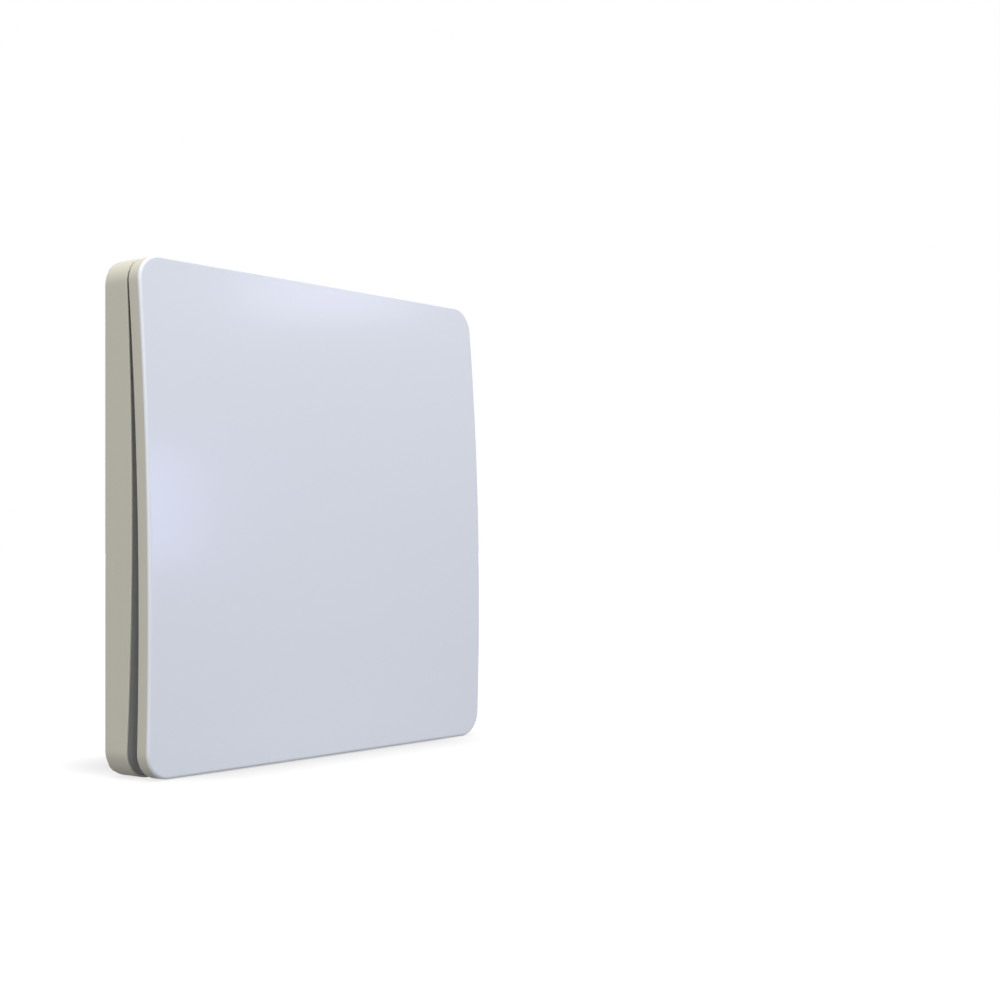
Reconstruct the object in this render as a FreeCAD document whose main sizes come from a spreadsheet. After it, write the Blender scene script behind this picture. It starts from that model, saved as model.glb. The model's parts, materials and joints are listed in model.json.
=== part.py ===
"""Self-powered rocker wall switch, 86 x 86 mm, as a parametric FreeCAD document.

Frame: +Z up, the front toward -Y, the wall plane at Y = 0, the origin in the middle of the wall
face. "Depth" is the distance in front of the wall, so a depth of 5 lies at Y = -5.

The base side snaps onto a wall plate and carries a dark frame on which the rocker tips like a
seesaw. A hook behind the rocker moves the leaf spring of a small generator, whose swinging magnet
reverses the flux through a coil at each press.
"""
import FreeCAD, Part
import math
import os
import re
import Sketcher

# Driving dimensions in millimetres and degrees

SIZES = {
    # Outline and crown, shared by the base and the rocker
    "outer_width": 86.0,
    "outer_height": 86.0,
    "corner_radius": 4.6,
    "crown_rise": 1.5,
    # Wall plate and its adhesive pads
    "plate_thickness": 1.5,
    "plate_clearance": 0.2,
    "screw_inset": 13.0,
    "slot_length": 8.0,
    "slot_width": 4.2,
    "tape_inset_x": 13.0,
    "tape_inset_z": 18.0,
    "tape_width": 12.0,
    "tape_thickness": 0.8,
    "tongue_width": 6.0,
    "tongue_thickness": 1.0,
    "tongue_height": 1.6,
    "tongue_barb": 0.4,
    "tongue_inset_x": 23.0,
    "tongue_inset_z": 3.2,
    "snap_clearance": 0.1,
    # Base shell
    "base_rim_depth": 6.7,
    "base_wall": 1.8,
    "floor_thickness": 1.0,
    "rim_lip": 0.35,
    "head_room_width": 8.4,
    "pry_width": 8.0,
    "pry_depth": 1.0,
    "floor_rib_inset": 8.2,
    "floor_rib_height": 1.2,
    "floor_rib_thickness": 1.0,
    "floor_rib_spacing": 12.0,
    # Mid frame
    "frame_clearance": 0.05,
    "frame_wall": 1.2,
    "ledge_width": 2.8,
    "ledge_drop": 0.35,
    "step_rise": 0.8,
    "window_margin": 0.6,
    # Screws that hold the mid frame, put in from behind
    "frame_screw_inset_x": 19.0,
    "frame_screw_inset_z": 13.0,
    "frame_screw_diameter": 2.0,
    "frame_head_diameter": 3.6,
    "frame_head_height": 1.0,
    "frame_boss_width": 5.6,
    "frame_boss_height": 1.1,
    "frame_screw_grip": 2.4,
    "screw_clearance": 0.1,
    # Rocker
    "rocker_gap": 1.56,
    "rocker_side": 2.26,
    "rocker_wall": 1.5,
    "panel_thickness": 1.0,
    "rib_depth": 0.8,
    "rib_thickness": 1.0,
    "rib_share_x": 0.14,
    "rib_share_z": 0.26,
    "face_thickness": 0.55,
    "face_fillet": 0.45,
    # Rocker pivot and stops
    "pivot_depth": 5.2,
    "rest_tilt": 1.55,
    "pin_diameter": 1.2,
    "pin_grip": 1.2,
    "bearing_clearance": 0.05,
    "lug_inset": 6.6,
    "lug_thickness": 2.0,
    "lug_radius": 1.4,
    "lug_root": 3.0,
    "cheek_thickness": 1.6,
    "side_clearance": 0.2,
    "bumper_inset_x": 11.0,
    "bumper_inset_z": 9.0,
    "bumper_width": 7.0,
    "bumper_height": 4.0,
    "bumper_seat": 0.4,
    "stop_clearance": 0.06,
    # Hook behind the rocker that drives the leaf spring
    "hook_stand_off": 2.1,
    "hook_width": 5.0,
    "hook_thickness": 1.2,
    "hook_lip": 0.7,
    "hook_clearance": 0.08,
    # Catches of the base floor that hold the tray and the board in notches of their edges
    "catch_spread": 5.0,
    "catch_width": 3.0,
    "catch_thickness": 0.8,
    "catch_nose": 0.5,
    "fit_clearance": 0.05,
    # Generator core and coil
    "core_thickness": 1.0,
    "yoke_reach": 23.5,
    "yoke_height": 3.0,
    "centre_leg_width": 8.0,
    "leg_gap": 2.6,
    "outer_leg_width": 3.0,
    "bobbin_length": 15.0,
    "bobbin_wall": 0.5,
    "flange_thickness": 0.8,
    "flange_clearance": 0.5,
    "winding_inset": 0.3,
    "winding_radius": 0.8,
    "clip_thickness": 0.5,
    "generator_screw_x": 8.0,
    "generator_screw_diameter": 1.4,
    "generator_head_diameter": 2.6,
    "generator_head_height": 0.6,
    # Generator tray
    "tray_floor": 0.5,
    "tray_margin": 1.0,
    "cradle_thickness": 1.4,
    "cradle_width": 4.0,
    "cradle_mouth": 1.3,
    "lead_channel": 1.0,
    # Swinging magnet group
    "swing_reach": 11.0,
    "pole_arm": 4.4,
    "pole_thickness": 0.6,
    "pole_clearance": 0.05,
    "swing_clearance": 0.4,
    "magnet_length": 11.0,
    "magnet_height": 2.4,
    "magnet_air_gap": 0.3,
    "trunnion_diameter": 1.6,
    "trunnion_length": 1.4,
    "swing_cheek_thickness": 0.8,
    "swing_cheek_depth": 3.2,
    "swing_bar_height": 1.5,
    "swing_bar_depth": 2.0,
    "spring_thickness": 0.25,
    "spring_width": 8.0,
    "spring_tongue_width": 3.0,
    "spring_overhang": 1.6,
    # Circuit board
    "board_side_gap": 1.2,
    "board_tray_gap": 3.0,
    "board_inset": 8.5,
    "board_thickness": 0.8,
    "board_post_height": 0.6,
    "board_post_width": 3.6,
    "board_post_inset": 5.0,
    "board_catch_share": 0.28,
    "chip_size": 5.0,
    "chip_height": 0.9,
    "chip_share": 0.4,
    "crystal_width": 3.2,
    "crystal_height": 2.5,
    "crystal_thickness": 0.7,
    "crystal_share": 0.7,
    "crystal_edge": 3.5,
    "rectifier_width": 4.8,
    "rectifier_height": 3.9,
    "rectifier_thickness": 1.2,
    "rectifier_share": 0.35,
    "capacitor_width": 3.5,
    "capacitor_height": 2.8,
    "capacitor_thickness": 1.2,
    "capacitor_share": 0.6,
    "capacitor_edge": 1.9,
    "capacitor_pitch": 3.2,
    "inductor_size": 4.0,
    "inductor_thickness": 1.2,
    "antenna_share": 0.6,
    "antenna_strip": 1.2,
    "antenna_drop_share": 0.18,
    "antenna_pitch": 5.0,
    "antenna_thickness": 0.3,
    "antenna_lift": 0.4,
    "antenna_inset": 1.0,
    "lead_diameter": 0.4,
    "lead_x": 3.0,
    "lead_lap": 2.5,
}

# Depths and places that follow from the driving dimensions

CROWN_RADIUS = "((outer_height ^ 2 / 4 + crown_rise ^ 2) / (2 * crown_rise))"
FLOOR_REAR = "plate_thickness"
FLOOR_FRONT = "(plate_thickness + floor_thickness)"
LEDGE_FRONT = "(base_rim_depth - ledge_drop)"
LEDGE_REAR = f"({LEDGE_FRONT} - frame_wall)"
STEP_FRONT = f"({LEDGE_FRONT} + step_rise)"
STEP_REAR = f"({STEP_FRONT} - frame_wall)"
FRAME_INSET = "(rim_lip + frame_clearance)"
STEP_INSET = f"({FRAME_INSET} + ledge_width)"
ROCKER_RIM = "(base_rim_depth + rocker_gap)"
ROCKER_FRONT = f"({ROCKER_RIM} + rocker_side)"
PANEL_REAR = f"({ROCKER_FRONT} - panel_thickness)"
RIB_REAR = f"({PANEL_REAR} - rib_depth)"
RIB_X = "(rib_share_x * outer_width)"
RIB_Z = "(rib_share_z * outer_height)"
FACE_FRONT = f"({ROCKER_FRONT} + face_thickness)"
FRAME_SEAT = f"({FLOOR_FRONT} + frame_boss_height)"
TRAY_FRONT = f"({FLOOR_FRONT} + tray_floor)"
CORE_REAR = "(pivot_depth - core_thickness / 2)"
CORE_FRONT = "(pivot_depth + core_thickness / 2)"
YOKE_TOP = "(yoke_reach - swing_reach)"
YOKE_BOTTOM = f"({YOKE_TOP} - yoke_height)"
YOKE_MIDDLE = f"({YOKE_TOP} - yoke_height / 2)"
OUTER_LEG_X = "(centre_leg_width / 2 + leg_gap)"
CORE_HALF_WIDTH = f"({OUTER_LEG_X} + outer_leg_width)"
FLANGE_HALF_WIDTH = f"({OUTER_LEG_X} - flange_clearance)"
FLANGE_HALF_DEPTH = f"(pivot_depth - {TRAY_FRONT})"
BOBBIN_BOTTOM = f"({YOKE_BOTTOM} - bobbin_length)"
HOOK_REACH = "(swing_reach + pole_arm + swing_bar_height + hook_stand_off)"
SWING_TILT = f"(rest_tilt * {HOOK_REACH} / ({HOOK_REACH} - swing_reach))"
POLE_HALF_WIDTH = f"({CORE_HALF_WIDTH} + swing_clearance)"
POLE_OFFSET = f"(core_thickness / 2 + pole_arm * sin({SWING_TILT}) + pole_clearance)"
SWING_HALF_WIDTH = f"({POLE_HALF_WIDTH} + swing_cheek_thickness)"
CRADLE_X = f"({SWING_HALF_WIDTH} + side_clearance)"
TRAY_HALF_WIDTH = f"({CRADLE_X} + cradle_thickness)"
TRAY_TOP = f"({YOKE_TOP} + tray_margin)"
WINDOW_BOTTOM = f"(-{HOOK_REACH} - spring_overhang - 2 * window_margin)"
SWING_BAR_TOP = "(-swing_reach - pole_arm)"
SWING_BAR_BOTTOM = f"({SWING_BAR_TOP} - swing_bar_height)"
BOARD_REAR = f"({FLOOR_FRONT} + board_post_height)"
BOARD_FRONT = f"({BOARD_REAR} + board_thickness)"
FRAME_SCREW_X = "(outer_width / 2 - frame_screw_inset_x)"
FRAME_SCREW_Z = "(outer_height / 2 - frame_screw_inset_z)"
BOARD_HALF_WIDTH = f"({FRAME_SCREW_X} - frame_boss_width / 2 - board_side_gap)"
BOARD_TOP = "(outer_height / 2 - board_inset)"
BOARD_BOTTOM = f"({TRAY_TOP} + board_tray_gap)"
BOARD_HEIGHT = f"({BOARD_TOP} - {BOARD_BOTTOM})"
BOARD_MIDDLE = f"(({BOARD_TOP} + {BOARD_BOTTOM}) / 2)"
SWING_AXIS = "-swing_reach"
LUG_X = "(outer_width / 2 - lug_inset)"
CHEEK_X = f"({LUG_X} - lug_thickness / 2 - side_clearance - cheek_thickness)"
PIN_LENGTH = "(cheek_thickness + lug_thickness + 2 * side_clearance + pin_grip)"
PLATE_INSET = "(base_wall + plate_clearance)"
SCREW_X = "(outer_width / 2 - screw_inset)"
TONGUE_X = "(outer_width / 2 - tongue_inset_x)"
TONGUE_Z = "(outer_height / 2 - base_wall - tongue_inset_z)"
TONGUE_FRONT = "(plate_thickness + tongue_height)"
BARB_DEPTH = f"({FLOOR_FRONT} + snap_clearance)"
BUMPER_X = "(outer_width / 2 - bumper_inset_x)"
BUMPER_Z = "(outer_height / 2 - bumper_inset_z)"
BUMPER_EDGE = f"({BUMPER_Z} + bumper_height / 2)"
BUMPER_SAG = f"(crown_rise * (2 * {BUMPER_EDGE} / outer_height) ^ 2)"
BUMPER_REAR = f"({STEP_FRONT} - {BUMPER_SAG} - bumper_seat)"
BUMPER_FRONT = f"({PANEL_REAR} - {BUMPER_SAG} - {BUMPER_EDGE} * sin(rest_tilt) - stop_clearance)"
TRAY_CATCHES = (TRAY_HALF_WIDTH, "0", "catch_spread")
BOARD_CATCHES = (BOARD_HALF_WIDTH, BOARD_MIDDLE, f"board_catch_share * {BOARD_HEIGHT}")
CUT_HALF_HEIGHT = "(outer_height / 2 + corner_radius)"
CUT_DEPTH = f"({FACE_FRONT} + 2 * crown_rise)"

doc = FreeCAD.newDocument("wall_switch")
sheet = doc.addObject("Spreadsheet::Sheet", "Dims")
for row, (alias, value) in enumerate(SIZES.items(), start=1):
    sheet.set(f"A{row}", alias)
    sheet.set(f"B{row}", str(value))
    sheet.setAlias(f"B{row}", alias)
doc.recompute()

ALIAS_WORD = re.compile(r"\b(" + "|".join(SIZES) + r")\b")
SUB_PARTS = []


def size(expression):
    """Return the present number of an expression in the sheet's names."""
    return float(sheet.evalExpression(expression))


def bind(target, path, expression):
    """Bind one property of an object to an expression in the sheet's names."""
    target.setExpression(path, ALIAS_WORD.sub(r"Dims.\1", expression))


def new_body(label):
    """Start a sub-part, whose label names its file."""
    body = doc.addObject("PartDesign::Body", label)
    body.Label = label
    SUB_PARTS.append(body)
    return body


class Profile:
    """A closed sketch on an origin plane of its body, every size bound to the sheet.

    On "XZ_Plane" the sketch is seen from the front: its x is X, its y is Z, and the offset is the
    depth. On "YZ_Plane" its x is Y, its y is Z, and the offset is X. On "XY_Plane" its x is X, its
    y is Y, and the offset is Z.
    """

    def __init__(self, body, plane, offset):
        self.body = body
        self.sketch = body.newObject("Sketcher::SketchObject", "profile")
        plane_object = [item for item in body.Origin.OriginFeatures if item.Role == plane][0]
        self.sketch.AttachmentSupport = [(plane_object, "")]
        self.sketch.MapMode = "FlatFace"
        bind(self.sketch, "AttachmentOffset.Base.z", offset)

    def constrain(self, *constraints):
        """Add constraints that hold no size."""
        self.sketch.addConstraint([Sketcher.Constraint(*items) for items in constraints])

    def measure(self, kind, places, expression):
        """Add one dimension and bind it."""
        number = self.sketch.addConstraint(Sketcher.Constraint(kind, *places, size(expression)))
        bind(self.sketch, f"Constraints[{number}]", expression)

    def place(self, geometry, point, x=None, y=None):
        """Tie a point of one edge to its place from the origin."""
        if x is not None:
            self.measure("DistanceX", (-1, 1, geometry, point), x)
        if y is not None:
            self.measure("DistanceY", (-1, 1, geometry, point), y)

    def polygon(self, corners):
        """Straight-sided outline through the corners, each a pair of expressions."""
        points = [FreeCAD.Vector(size(x), size(y), 0) for x, y in corners]
        ends = points[1:] + points[:1]
        lines = [self.sketch.addGeometry(Part.LineSegment(a, b)) for a, b in zip(points, ends)]
        for line, following in zip(lines, lines[1:] + lines[:1]):
            self.constrain(("Coincident", line, 2, following, 1))
        for line, (x, y) in zip(lines, corners):
            self.place(line, 1, x, y)
        return self

    def rectangle(self, left, right, low, high):
        """Rectangle between two x and two y places."""
        return self.polygon([(left, low), (right, low), (right, high), (left, high)])

    def square(self, x, y, width, height=None):
        """Square, or rectangle, about a middle point."""
        half_width, half_height = f"({width}) / 2", f"({height or width}) / 2"
        return self.rectangle(f"{x} - {half_width}", f"{x} + {half_width}",
                              f"{y} - {half_height}", f"{y} + {half_height}")

    def circle(self, x, y, diameter):
        """Circle about a centre."""
        centre = FreeCAD.Vector(size(x), size(y), 0)
        ring = self.sketch.addGeometry(
            Part.Circle(centre, FreeCAD.Vector(0, 0, 1), size(diameter) / 2))
        self.place(ring, 3, x, y)
        self.measure("Radius", (ring,), f"({diameter}) / 2")
        return self

    def rounded_rectangle(self, half_width, half_height, radius, middle_x="0", middle_y="0"):
        """Rectangle about a middle point, with a round at each corner."""
        mid_x, mid_y = size(middle_x), size(middle_y)
        wide, high, bend = size(half_width), size(half_height), size(radius)
        arcs = []
        signs = [(1, -1), (1, 1), (-1, 1), (-1, -1)]
        for quarter, (side, rise) in enumerate(signs):
            centre = FreeCAD.Vector(mid_x + side * (wide - bend), mid_y + rise * (high - bend), 0)
            ring = Part.Circle(centre, FreeCAD.Vector(0, 0, 1), bend)
            start = math.radians(90 * quarter - 90)
            arcs.append(self.sketch.addGeometry(
                Part.ArcOfCircle(ring, start, start + math.pi / 2)))
        lines = []
        for arc, following in zip(arcs, arcs[1:] + arcs[:1]):
            start = self.sketch.Geometry[arc].EndPoint
            end = self.sketch.Geometry[following].StartPoint
            line = self.sketch.addGeometry(Part.LineSegment(start, end))
            self.constrain(("Tangent", arc, 2, line, 1), ("Tangent", line, 2, following, 1))
            lines.append(line)
        right, top, left, bottom = lines
        self.constrain(("Vertical", right), ("Horizontal", top))
        self.constrain(("Vertical", left), ("Horizontal", bottom))
        self.constrain(*[("Equal", arcs[0], arc) for arc in arcs[1:]])
        self.measure("Radius", (arcs[0],), radius)
        self.place(right, 1, x=f"{middle_x} + ({half_width})")
        self.place(left, 1, x=f"{middle_x} - ({half_width})")
        self.place(top, 1, y=f"{middle_y} + ({half_height})")
        self.place(bottom, 1, y=f"{middle_y} - ({half_height})")
        return self

    def slot(self, x, y, length, width):
        """Slot with round ends, lying along the sketch's x."""
        half_run = (size(length) - size(width)) / 2
        bend = size(width) / 2
        middle = FreeCAD.Vector(size(x), size(y), 0)
        arcs = []
        for side in (1, -1):
            ring = Part.Circle(
                middle + FreeCAD.Vector(side * half_run, 0, 0), FreeCAD.Vector(0, 0, 1), bend)
            start = -side * math.pi / 2
            arcs.append(self.sketch.addGeometry(Part.ArcOfCircle(ring, start, start + math.pi)))
        for arc, following in ((arcs[0], arcs[1]), (arcs[1], arcs[0])):
            start = self.sketch.Geometry[arc].EndPoint
            end = self.sketch.Geometry[following].StartPoint
            line = self.sketch.addGeometry(Part.LineSegment(start, end))
            self.constrain(("Tangent", arc, 2, line, 1), ("Tangent", line, 2, following, 1))
        self.constrain(("Equal", arcs[0], arcs[1]), ("Horizontal", arcs[1] + 1))
        self.measure("Radius", (arcs[0],), f"({width}) / 2")
        self.place(arcs[0], 3, x=f"{x} + (({length}) - ({width})) / 2", y=y)
        self.place(arcs[1], 3, x=f"{x} - (({length}) - ({width})) / 2")
        return self

    def crown(self, middle_depth, far_depth, half_height):
        """Side view of all that lies between the crown's arc and a straight far line."""
        radius, reach = size(CROWN_RADIUS), size(half_height)
        centre = FreeCAD.Vector(radius - size(middle_depth), 0, 0)
        spread = math.asin(reach / radius)
        ring = Part.Circle(centre, FreeCAD.Vector(0, 0, 1), radius)
        arc = self.sketch.addGeometry(
            Part.ArcOfCircle(ring, math.pi - spread, math.pi + spread))
        top = self.sketch.Geometry[arc].StartPoint
        bottom = self.sketch.Geometry[arc].EndPoint
        far_top = FreeCAD.Vector(-size(far_depth), reach, 0)
        far_bottom = FreeCAD.Vector(-size(far_depth), -reach, 0)
        run = [top, far_top, far_bottom, bottom]
        lines = [self.sketch.addGeometry(Part.LineSegment(a, b)) for a, b in zip(run, run[1:])]
        self.constrain(("Coincident", arc, 1, lines[0], 1), ("Coincident", lines[0], 2, lines[1], 1))
        self.constrain(("Coincident", lines[1], 2, lines[2], 1), ("Coincident", lines[2], 2, arc, 2))
        self.constrain(("PointOnObject", arc, 3, -1), ("Horizontal", lines[0]))
        self.constrain(("Horizontal", lines[2]), ("Vertical", lines[1]))
        self.measure("Radius", (arc,), CROWN_RADIUS)
        self.place(arc, 3, x=f"{CROWN_RADIUS} - ({middle_depth})")
        self.place(lines[0], 2, x=f"-({far_depth})", y=half_height)
        self.place(lines[1], 2, y=f"-({half_height})")
        return self

    def feature(self, kind, length, symmetric=False, reverse=False):
        """Turn the sketch into a pad or a pocket of the body; no length means right through."""
        before = self.body.Shape.Volume if self.body.Tip else 0.0
        result = self.body.newObject(f"PartDesign::{kind}", kind)
        result.Profile = self.sketch
        if length is None:
            result.Type = "ThroughAll"
        else:
            bind(result, "Length", length)
        if symmetric:
            result.SideType = "Symmetric"
        result.Reversed = reverse
        doc.recompute()
        change = self.body.Shape.Volume - before
        if (change <= 0.0) if kind == "Pad" else (change >= 0.0):
            raise RuntimeError(f"{self.body.Label}: {result.Name} changes nothing")
        return result

    def pad(self, length):
        """Add material from the sketch toward the front, or toward +X from a side view."""
        return self.feature("Pad", length)

    def pad_both_ways(self, length):
        """Add material to both sides of the sketch."""
        return self.feature("Pad", length, symmetric=True)

    def cut(self, length):
        """Cut from the sketch toward the front, or toward +X from a side view."""
        return self.feature("Pocket", length, reverse=True)

    def cut_both_ways(self, length=None):
        """Cut to both sides of the sketch."""
        return self.feature("Pocket", length, symmetric=True)


def front_view(body, depth):
    """Sketch seen from the front, at a depth."""
    return Profile(body, "XZ_Plane", depth)


def side_view(body, place_x="0"):
    """Sketch seen from the right-hand side, at a place along X."""
    return Profile(body, "YZ_Plane", place_x)


def floor_view(body, height):
    """Sketch seen from above, at a height."""
    return Profile(body, "XY_Plane", height)


def cut_in_front(body, middle_depth):
    """Cut away all that lies in front of a crown."""
    side_view(body).crown(middle_depth, CUT_DEPTH, CUT_HALF_HEIGHT).cut_both_ways()


def cut_behind(body, middle_depth):
    """Cut away all that lies behind a crown."""
    side_view(body).crown(middle_depth, "0", CUT_HALF_HEIGHT).cut_both_ways()


def outline(profile, inset):
    """Outline of the switch, drawn in by the inset."""
    return profile.rounded_rectangle(
        f"outer_width / 2 - {inset}", f"outer_height / 2 - {inset}", f"corner_radius - {inset}")


def front_edge_names(shape):
    """Names of the edges round the crowned face that lies furthest to the front."""
    crowned = [face for face in shape.Faces if isinstance(face.Surface, Part.Cylinder)
               and face.Surface.Radius > size("outer_height")]
    front_face = min(crowned, key=lambda face: face.BoundBox.YMin)
    rim = front_face.OuterWire.Edges
    return [f"Edge{number}" for number, edge in enumerate(shape.Edges, start=1)
            if any(edge.isSame(other) for other in rim)]


def fillet_front_edge(body, radius):
    """Round the edge of the front face."""
    base = body.Tip
    fillet = body.newObject("PartDesign::Fillet", "Fillet")
    fillet.Base = (base, front_edge_names(base.Shape))
    bind(fillet, "Radius", radius)
    doc.recompute()


def four_places(half_x, half_z):
    """The four places at plus and minus an x and a z."""
    return [(f"{x_sign}({half_x})", f"{z_sign}({half_z})") for x_sign in "-+" for z_sign in "-+"]


def two_sides(near, far):
    """Left and right edge, for both sides, of what lies between two distances from the middle."""
    return [(f"-({far})", f"-({near})"), (near, far)]


def tilt_about(body, tilt, axis_z):
    """Turn a body from its middle position to its place at rest, about its own axis."""
    axis = f"vector(0; -pivot_depth; {axis_z})"
    bind(body, "Placement", f"placement(vector(0; 0; 0); rotation(vector(1; 0; 0); -{tilt}); {axis})")


# Base side: wall plate, base shell and mid frame

def tape_strips(body):
    """Outlines of the two strips of foam tape, on the wall plane."""
    strips = front_view(body, "0")
    for sign in "-+":
        strips.square("0", f"{sign}(outer_height / 2 - tape_inset_z)",
                      "outer_width - 2 * tape_inset_x", "tape_width")
    return strips


def wall_plate():
    """Flat plate that stays on the wall; the base shell snaps over its four tongues."""
    body = new_body("wall_plate")
    outline(front_view(body, "0"), PLATE_INSET).pad("plate_thickness")
    tape_strips(body).cut("tape_thickness")
    slots = front_view(body, "0")
    for sign in "-+":
        slots.slot(f"{sign}{SCREW_X}", "0", "slot_length", "slot_width")
    slots.cut(None)
    tongues = front_view(body, "plate_thickness")
    barbs = front_view(body, BARB_DEPTH)
    for x, z in four_places(TONGUE_X, TONGUE_Z):
        outward = z[0]
        left, right = f"{x} - tongue_width / 2", f"{x} + tongue_width / 2"
        low, high = f"{z} - tongue_thickness / 2", f"{z} + tongue_thickness / 2"
        tongues.rectangle(left, right, low, high)
        if outward == "+":
            barbs.rectangle(left, right, low, f"{high} + tongue_barb")
        else:
            barbs.rectangle(left, right, f"{low} - tongue_barb", high)
    tongues.pad("tongue_height")
    barbs.pad(f"{TONGUE_FRONT} - {BARB_DEPTH}")
    return body


def adhesive_pads():
    """Two strips of foam tape, flush with the rear of the wall plate."""
    body = new_body("adhesive_pads")
    tape_strips(body).pad("tape_thickness")
    return body


def base_shell():
    """Moulded tray whose arched wall ends in a shoulder for the frame and a thin lip round it."""
    body = new_body("base_shell")
    outline(front_view(body, "0"), "0").pad("base_rim_depth + crown_rise")
    cut_in_front(body, LEDGE_REAR)
    lip = front_view(body, FLOOR_FRONT)
    outline(lip, "0")
    outline(lip, "rim_lip")
    lip.pad("base_rim_depth")
    cut_in_front(body, "base_rim_depth")
    outline(front_view(body, FLOOR_FRONT), "base_wall").cut(None)
    outline(front_view(body, "0"), "base_wall").cut("plate_thickness")

    bosses = front_view(body, FLOOR_FRONT)
    for x, z in four_places(FRAME_SCREW_X, FRAME_SCREW_Z):
        bosses.square(x, z, "frame_boss_width")
    bosses.pad("frame_boss_height")
    posts = front_view(body, FLOOR_FRONT)
    for sign in "-+":
        posts.square(f"{sign}({BOARD_HALF_WIDTH} - board_post_inset)", BOARD_MIDDLE,
                     "board_post_width")
    posts.pad("board_post_height")
    ribs = front_view(body, FLOOR_FRONT)
    for place in (-1, 0, 1):
        ribs.rectangle(f"{place} * floor_rib_spacing - floor_rib_thickness / 2",
                       f"{place} * floor_rib_spacing + floor_rib_thickness / 2",
                       "floor_rib_inset - outer_height / 2", WINDOW_BOTTOM)
    ribs.pad("floor_rib_height")
    edge_catches(body, *TRAY_CATCHES, TRAY_FRONT)
    edge_catches(body, *BOARD_CATCHES, BOARD_FRONT)

    heads = front_view(body, FLOOR_REAR)
    shanks = front_view(body, FLOOR_REAR)
    for x, z in four_places(FRAME_SCREW_X, FRAME_SCREW_Z):
        heads.circle(x, z, "frame_head_diameter + 2 * screw_clearance")
        shanks.circle(x, z, "frame_screw_diameter + 2 * screw_clearance")
    heads.cut("frame_head_height")
    shanks.cut(None)
    head_room = front_view(body, FLOOR_REAR)
    for sign in "-+":
        head_room.square(f"{sign}{SCREW_X}", "0",
                         "slot_length + head_room_width - slot_width", "head_room_width")
    head_room.cut("floor_thickness")
    snap_slots = front_view(body, FLOOR_REAR)
    for x, z in four_places(TONGUE_X, TONGUE_Z):
        room = "(tongue_thickness / 2 + snap_clearance)"
        snap_slots.rectangle(f"{x} - tongue_width / 2 - snap_clearance",
                             f"{x} + tongue_width / 2 + snap_clearance",
                             f"{z} - {room} - tongue_barb * {int(z[0] == '+')}",
                             f"{z} + {room} + tongue_barb * {int(z[0] == '-')}")
    snap_slots.cut("floor_thickness")
    front_view(body, "0").rectangle(
        "-pry_width / 2", "pry_width / 2", "-outer_height / 2 - base_wall",
        "-outer_height / 2 + base_wall + plate_clearance / 2").cut("pry_depth")
    return body


def catch_outlines(profile, inner, outer, middle_z, spread, margin="0"):
    """Four rectangles, two at each side edge of a flat piece, between two distances from X = 0."""
    half_width = f"(catch_width / 2 + {margin})"
    for sign in "-+":
        z = f"{middle_z} {sign} {spread}"
        for left, right in two_sides(inner, outer):
            profile.rectangle(left, right, f"{z} - {half_width}", f"{z} + {half_width}")


def edge_catches(body, half_width, middle_z, spread, front_depth):
    """Four catches on the base floor whose noses reach over the front of a flat piece."""
    inner = f"{half_width} - catch_thickness"
    stems = front_view(body, FLOOR_FRONT)
    catch_outlines(stems, inner, half_width, middle_z, spread)
    stems.pad(f"{front_depth} + fit_clearance + catch_thickness - {FLOOR_FRONT}")
    noses = front_view(body, f"{front_depth} + fit_clearance")
    catch_outlines(noses, f"{inner} - catch_nose", half_width, middle_z, spread)
    noses.pad("catch_thickness")


def edge_notches(body, half_width, middle_z, spread, rear_depth, thickness):
    """Four notches in the side edges of a flat piece, one for each catch."""
    inner = f"{half_width} - catch_thickness - fit_clearance"
    outer = f"{half_width} + fit_clearance"
    notches = front_view(body, rear_depth)
    catch_outlines(notches, inner, outer, middle_z, spread, "fit_clearance")
    notches.cut(thickness)


def mid_frame():
    """Dark frame in the gap: a ledge at the base rim, a raised platform and the pivot cheeks."""
    body = new_body("mid_frame")
    outline(front_view(body, FLOOR_FRONT), FRAME_INSET).pad("base_rim_depth + crown_rise")
    cut_in_front(body, LEDGE_FRONT)
    outline(front_view(body, FLOOR_FRONT), STEP_INSET).pad("base_rim_depth + crown_rise")
    cut_in_front(body, STEP_FRONT)
    cut_behind(body, LEDGE_REAR)
    hollow_inset = f"({STEP_INSET} + frame_wall)"
    side_view(body).crown(
        STEP_REAR, "0", f"outer_height / 2 - {hollow_inset}").cut_both_ways(
        f"outer_width - 2 * {hollow_inset}")

    bosses = front_view(body, FRAME_SEAT)
    for x, z in four_places(FRAME_SCREW_X, FRAME_SCREW_Z):
        bosses.square(x, z, "frame_boss_width - frame_wall")
    bosses.pad(f"{STEP_REAR} - {FRAME_SEAT}")
    threads = front_view(body, FRAME_SEAT)
    for x, z in four_places(FRAME_SCREW_X, FRAME_SCREW_Z):
        threads.circle(x, z, "frame_screw_diameter")
    threads.cut("frame_screw_grip")
    pivot_cheeks(body)

    front_view(body, FLOOR_FRONT).rectangle(
        f"-{TRAY_HALF_WIDTH} - window_margin", f"{TRAY_HALF_WIDTH} + window_margin",
        WINDOW_BOTTOM, f"{TRAY_TOP} + window_margin").cut(None)
    lug_slots = front_view(body, FLOOR_FRONT)
    for left, right in two_sides(f"{LUG_X} - lug_thickness / 2 - side_clearance",
                                 f"{LUG_X} + lug_thickness / 2 + side_clearance"):
        lug_slots.rectangle(left, right, "-lug_radius - 2 * side_clearance",
                            "lug_radius + 2 * side_clearance")
    lug_slots.cut(None)
    seats = front_view(body, BUMPER_REAR)
    for x, z in four_places(BUMPER_X, BUMPER_Z):
        seats.square(x, z, "bumper_width", "bumper_height")
    seats.cut(None)
    return body


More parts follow.
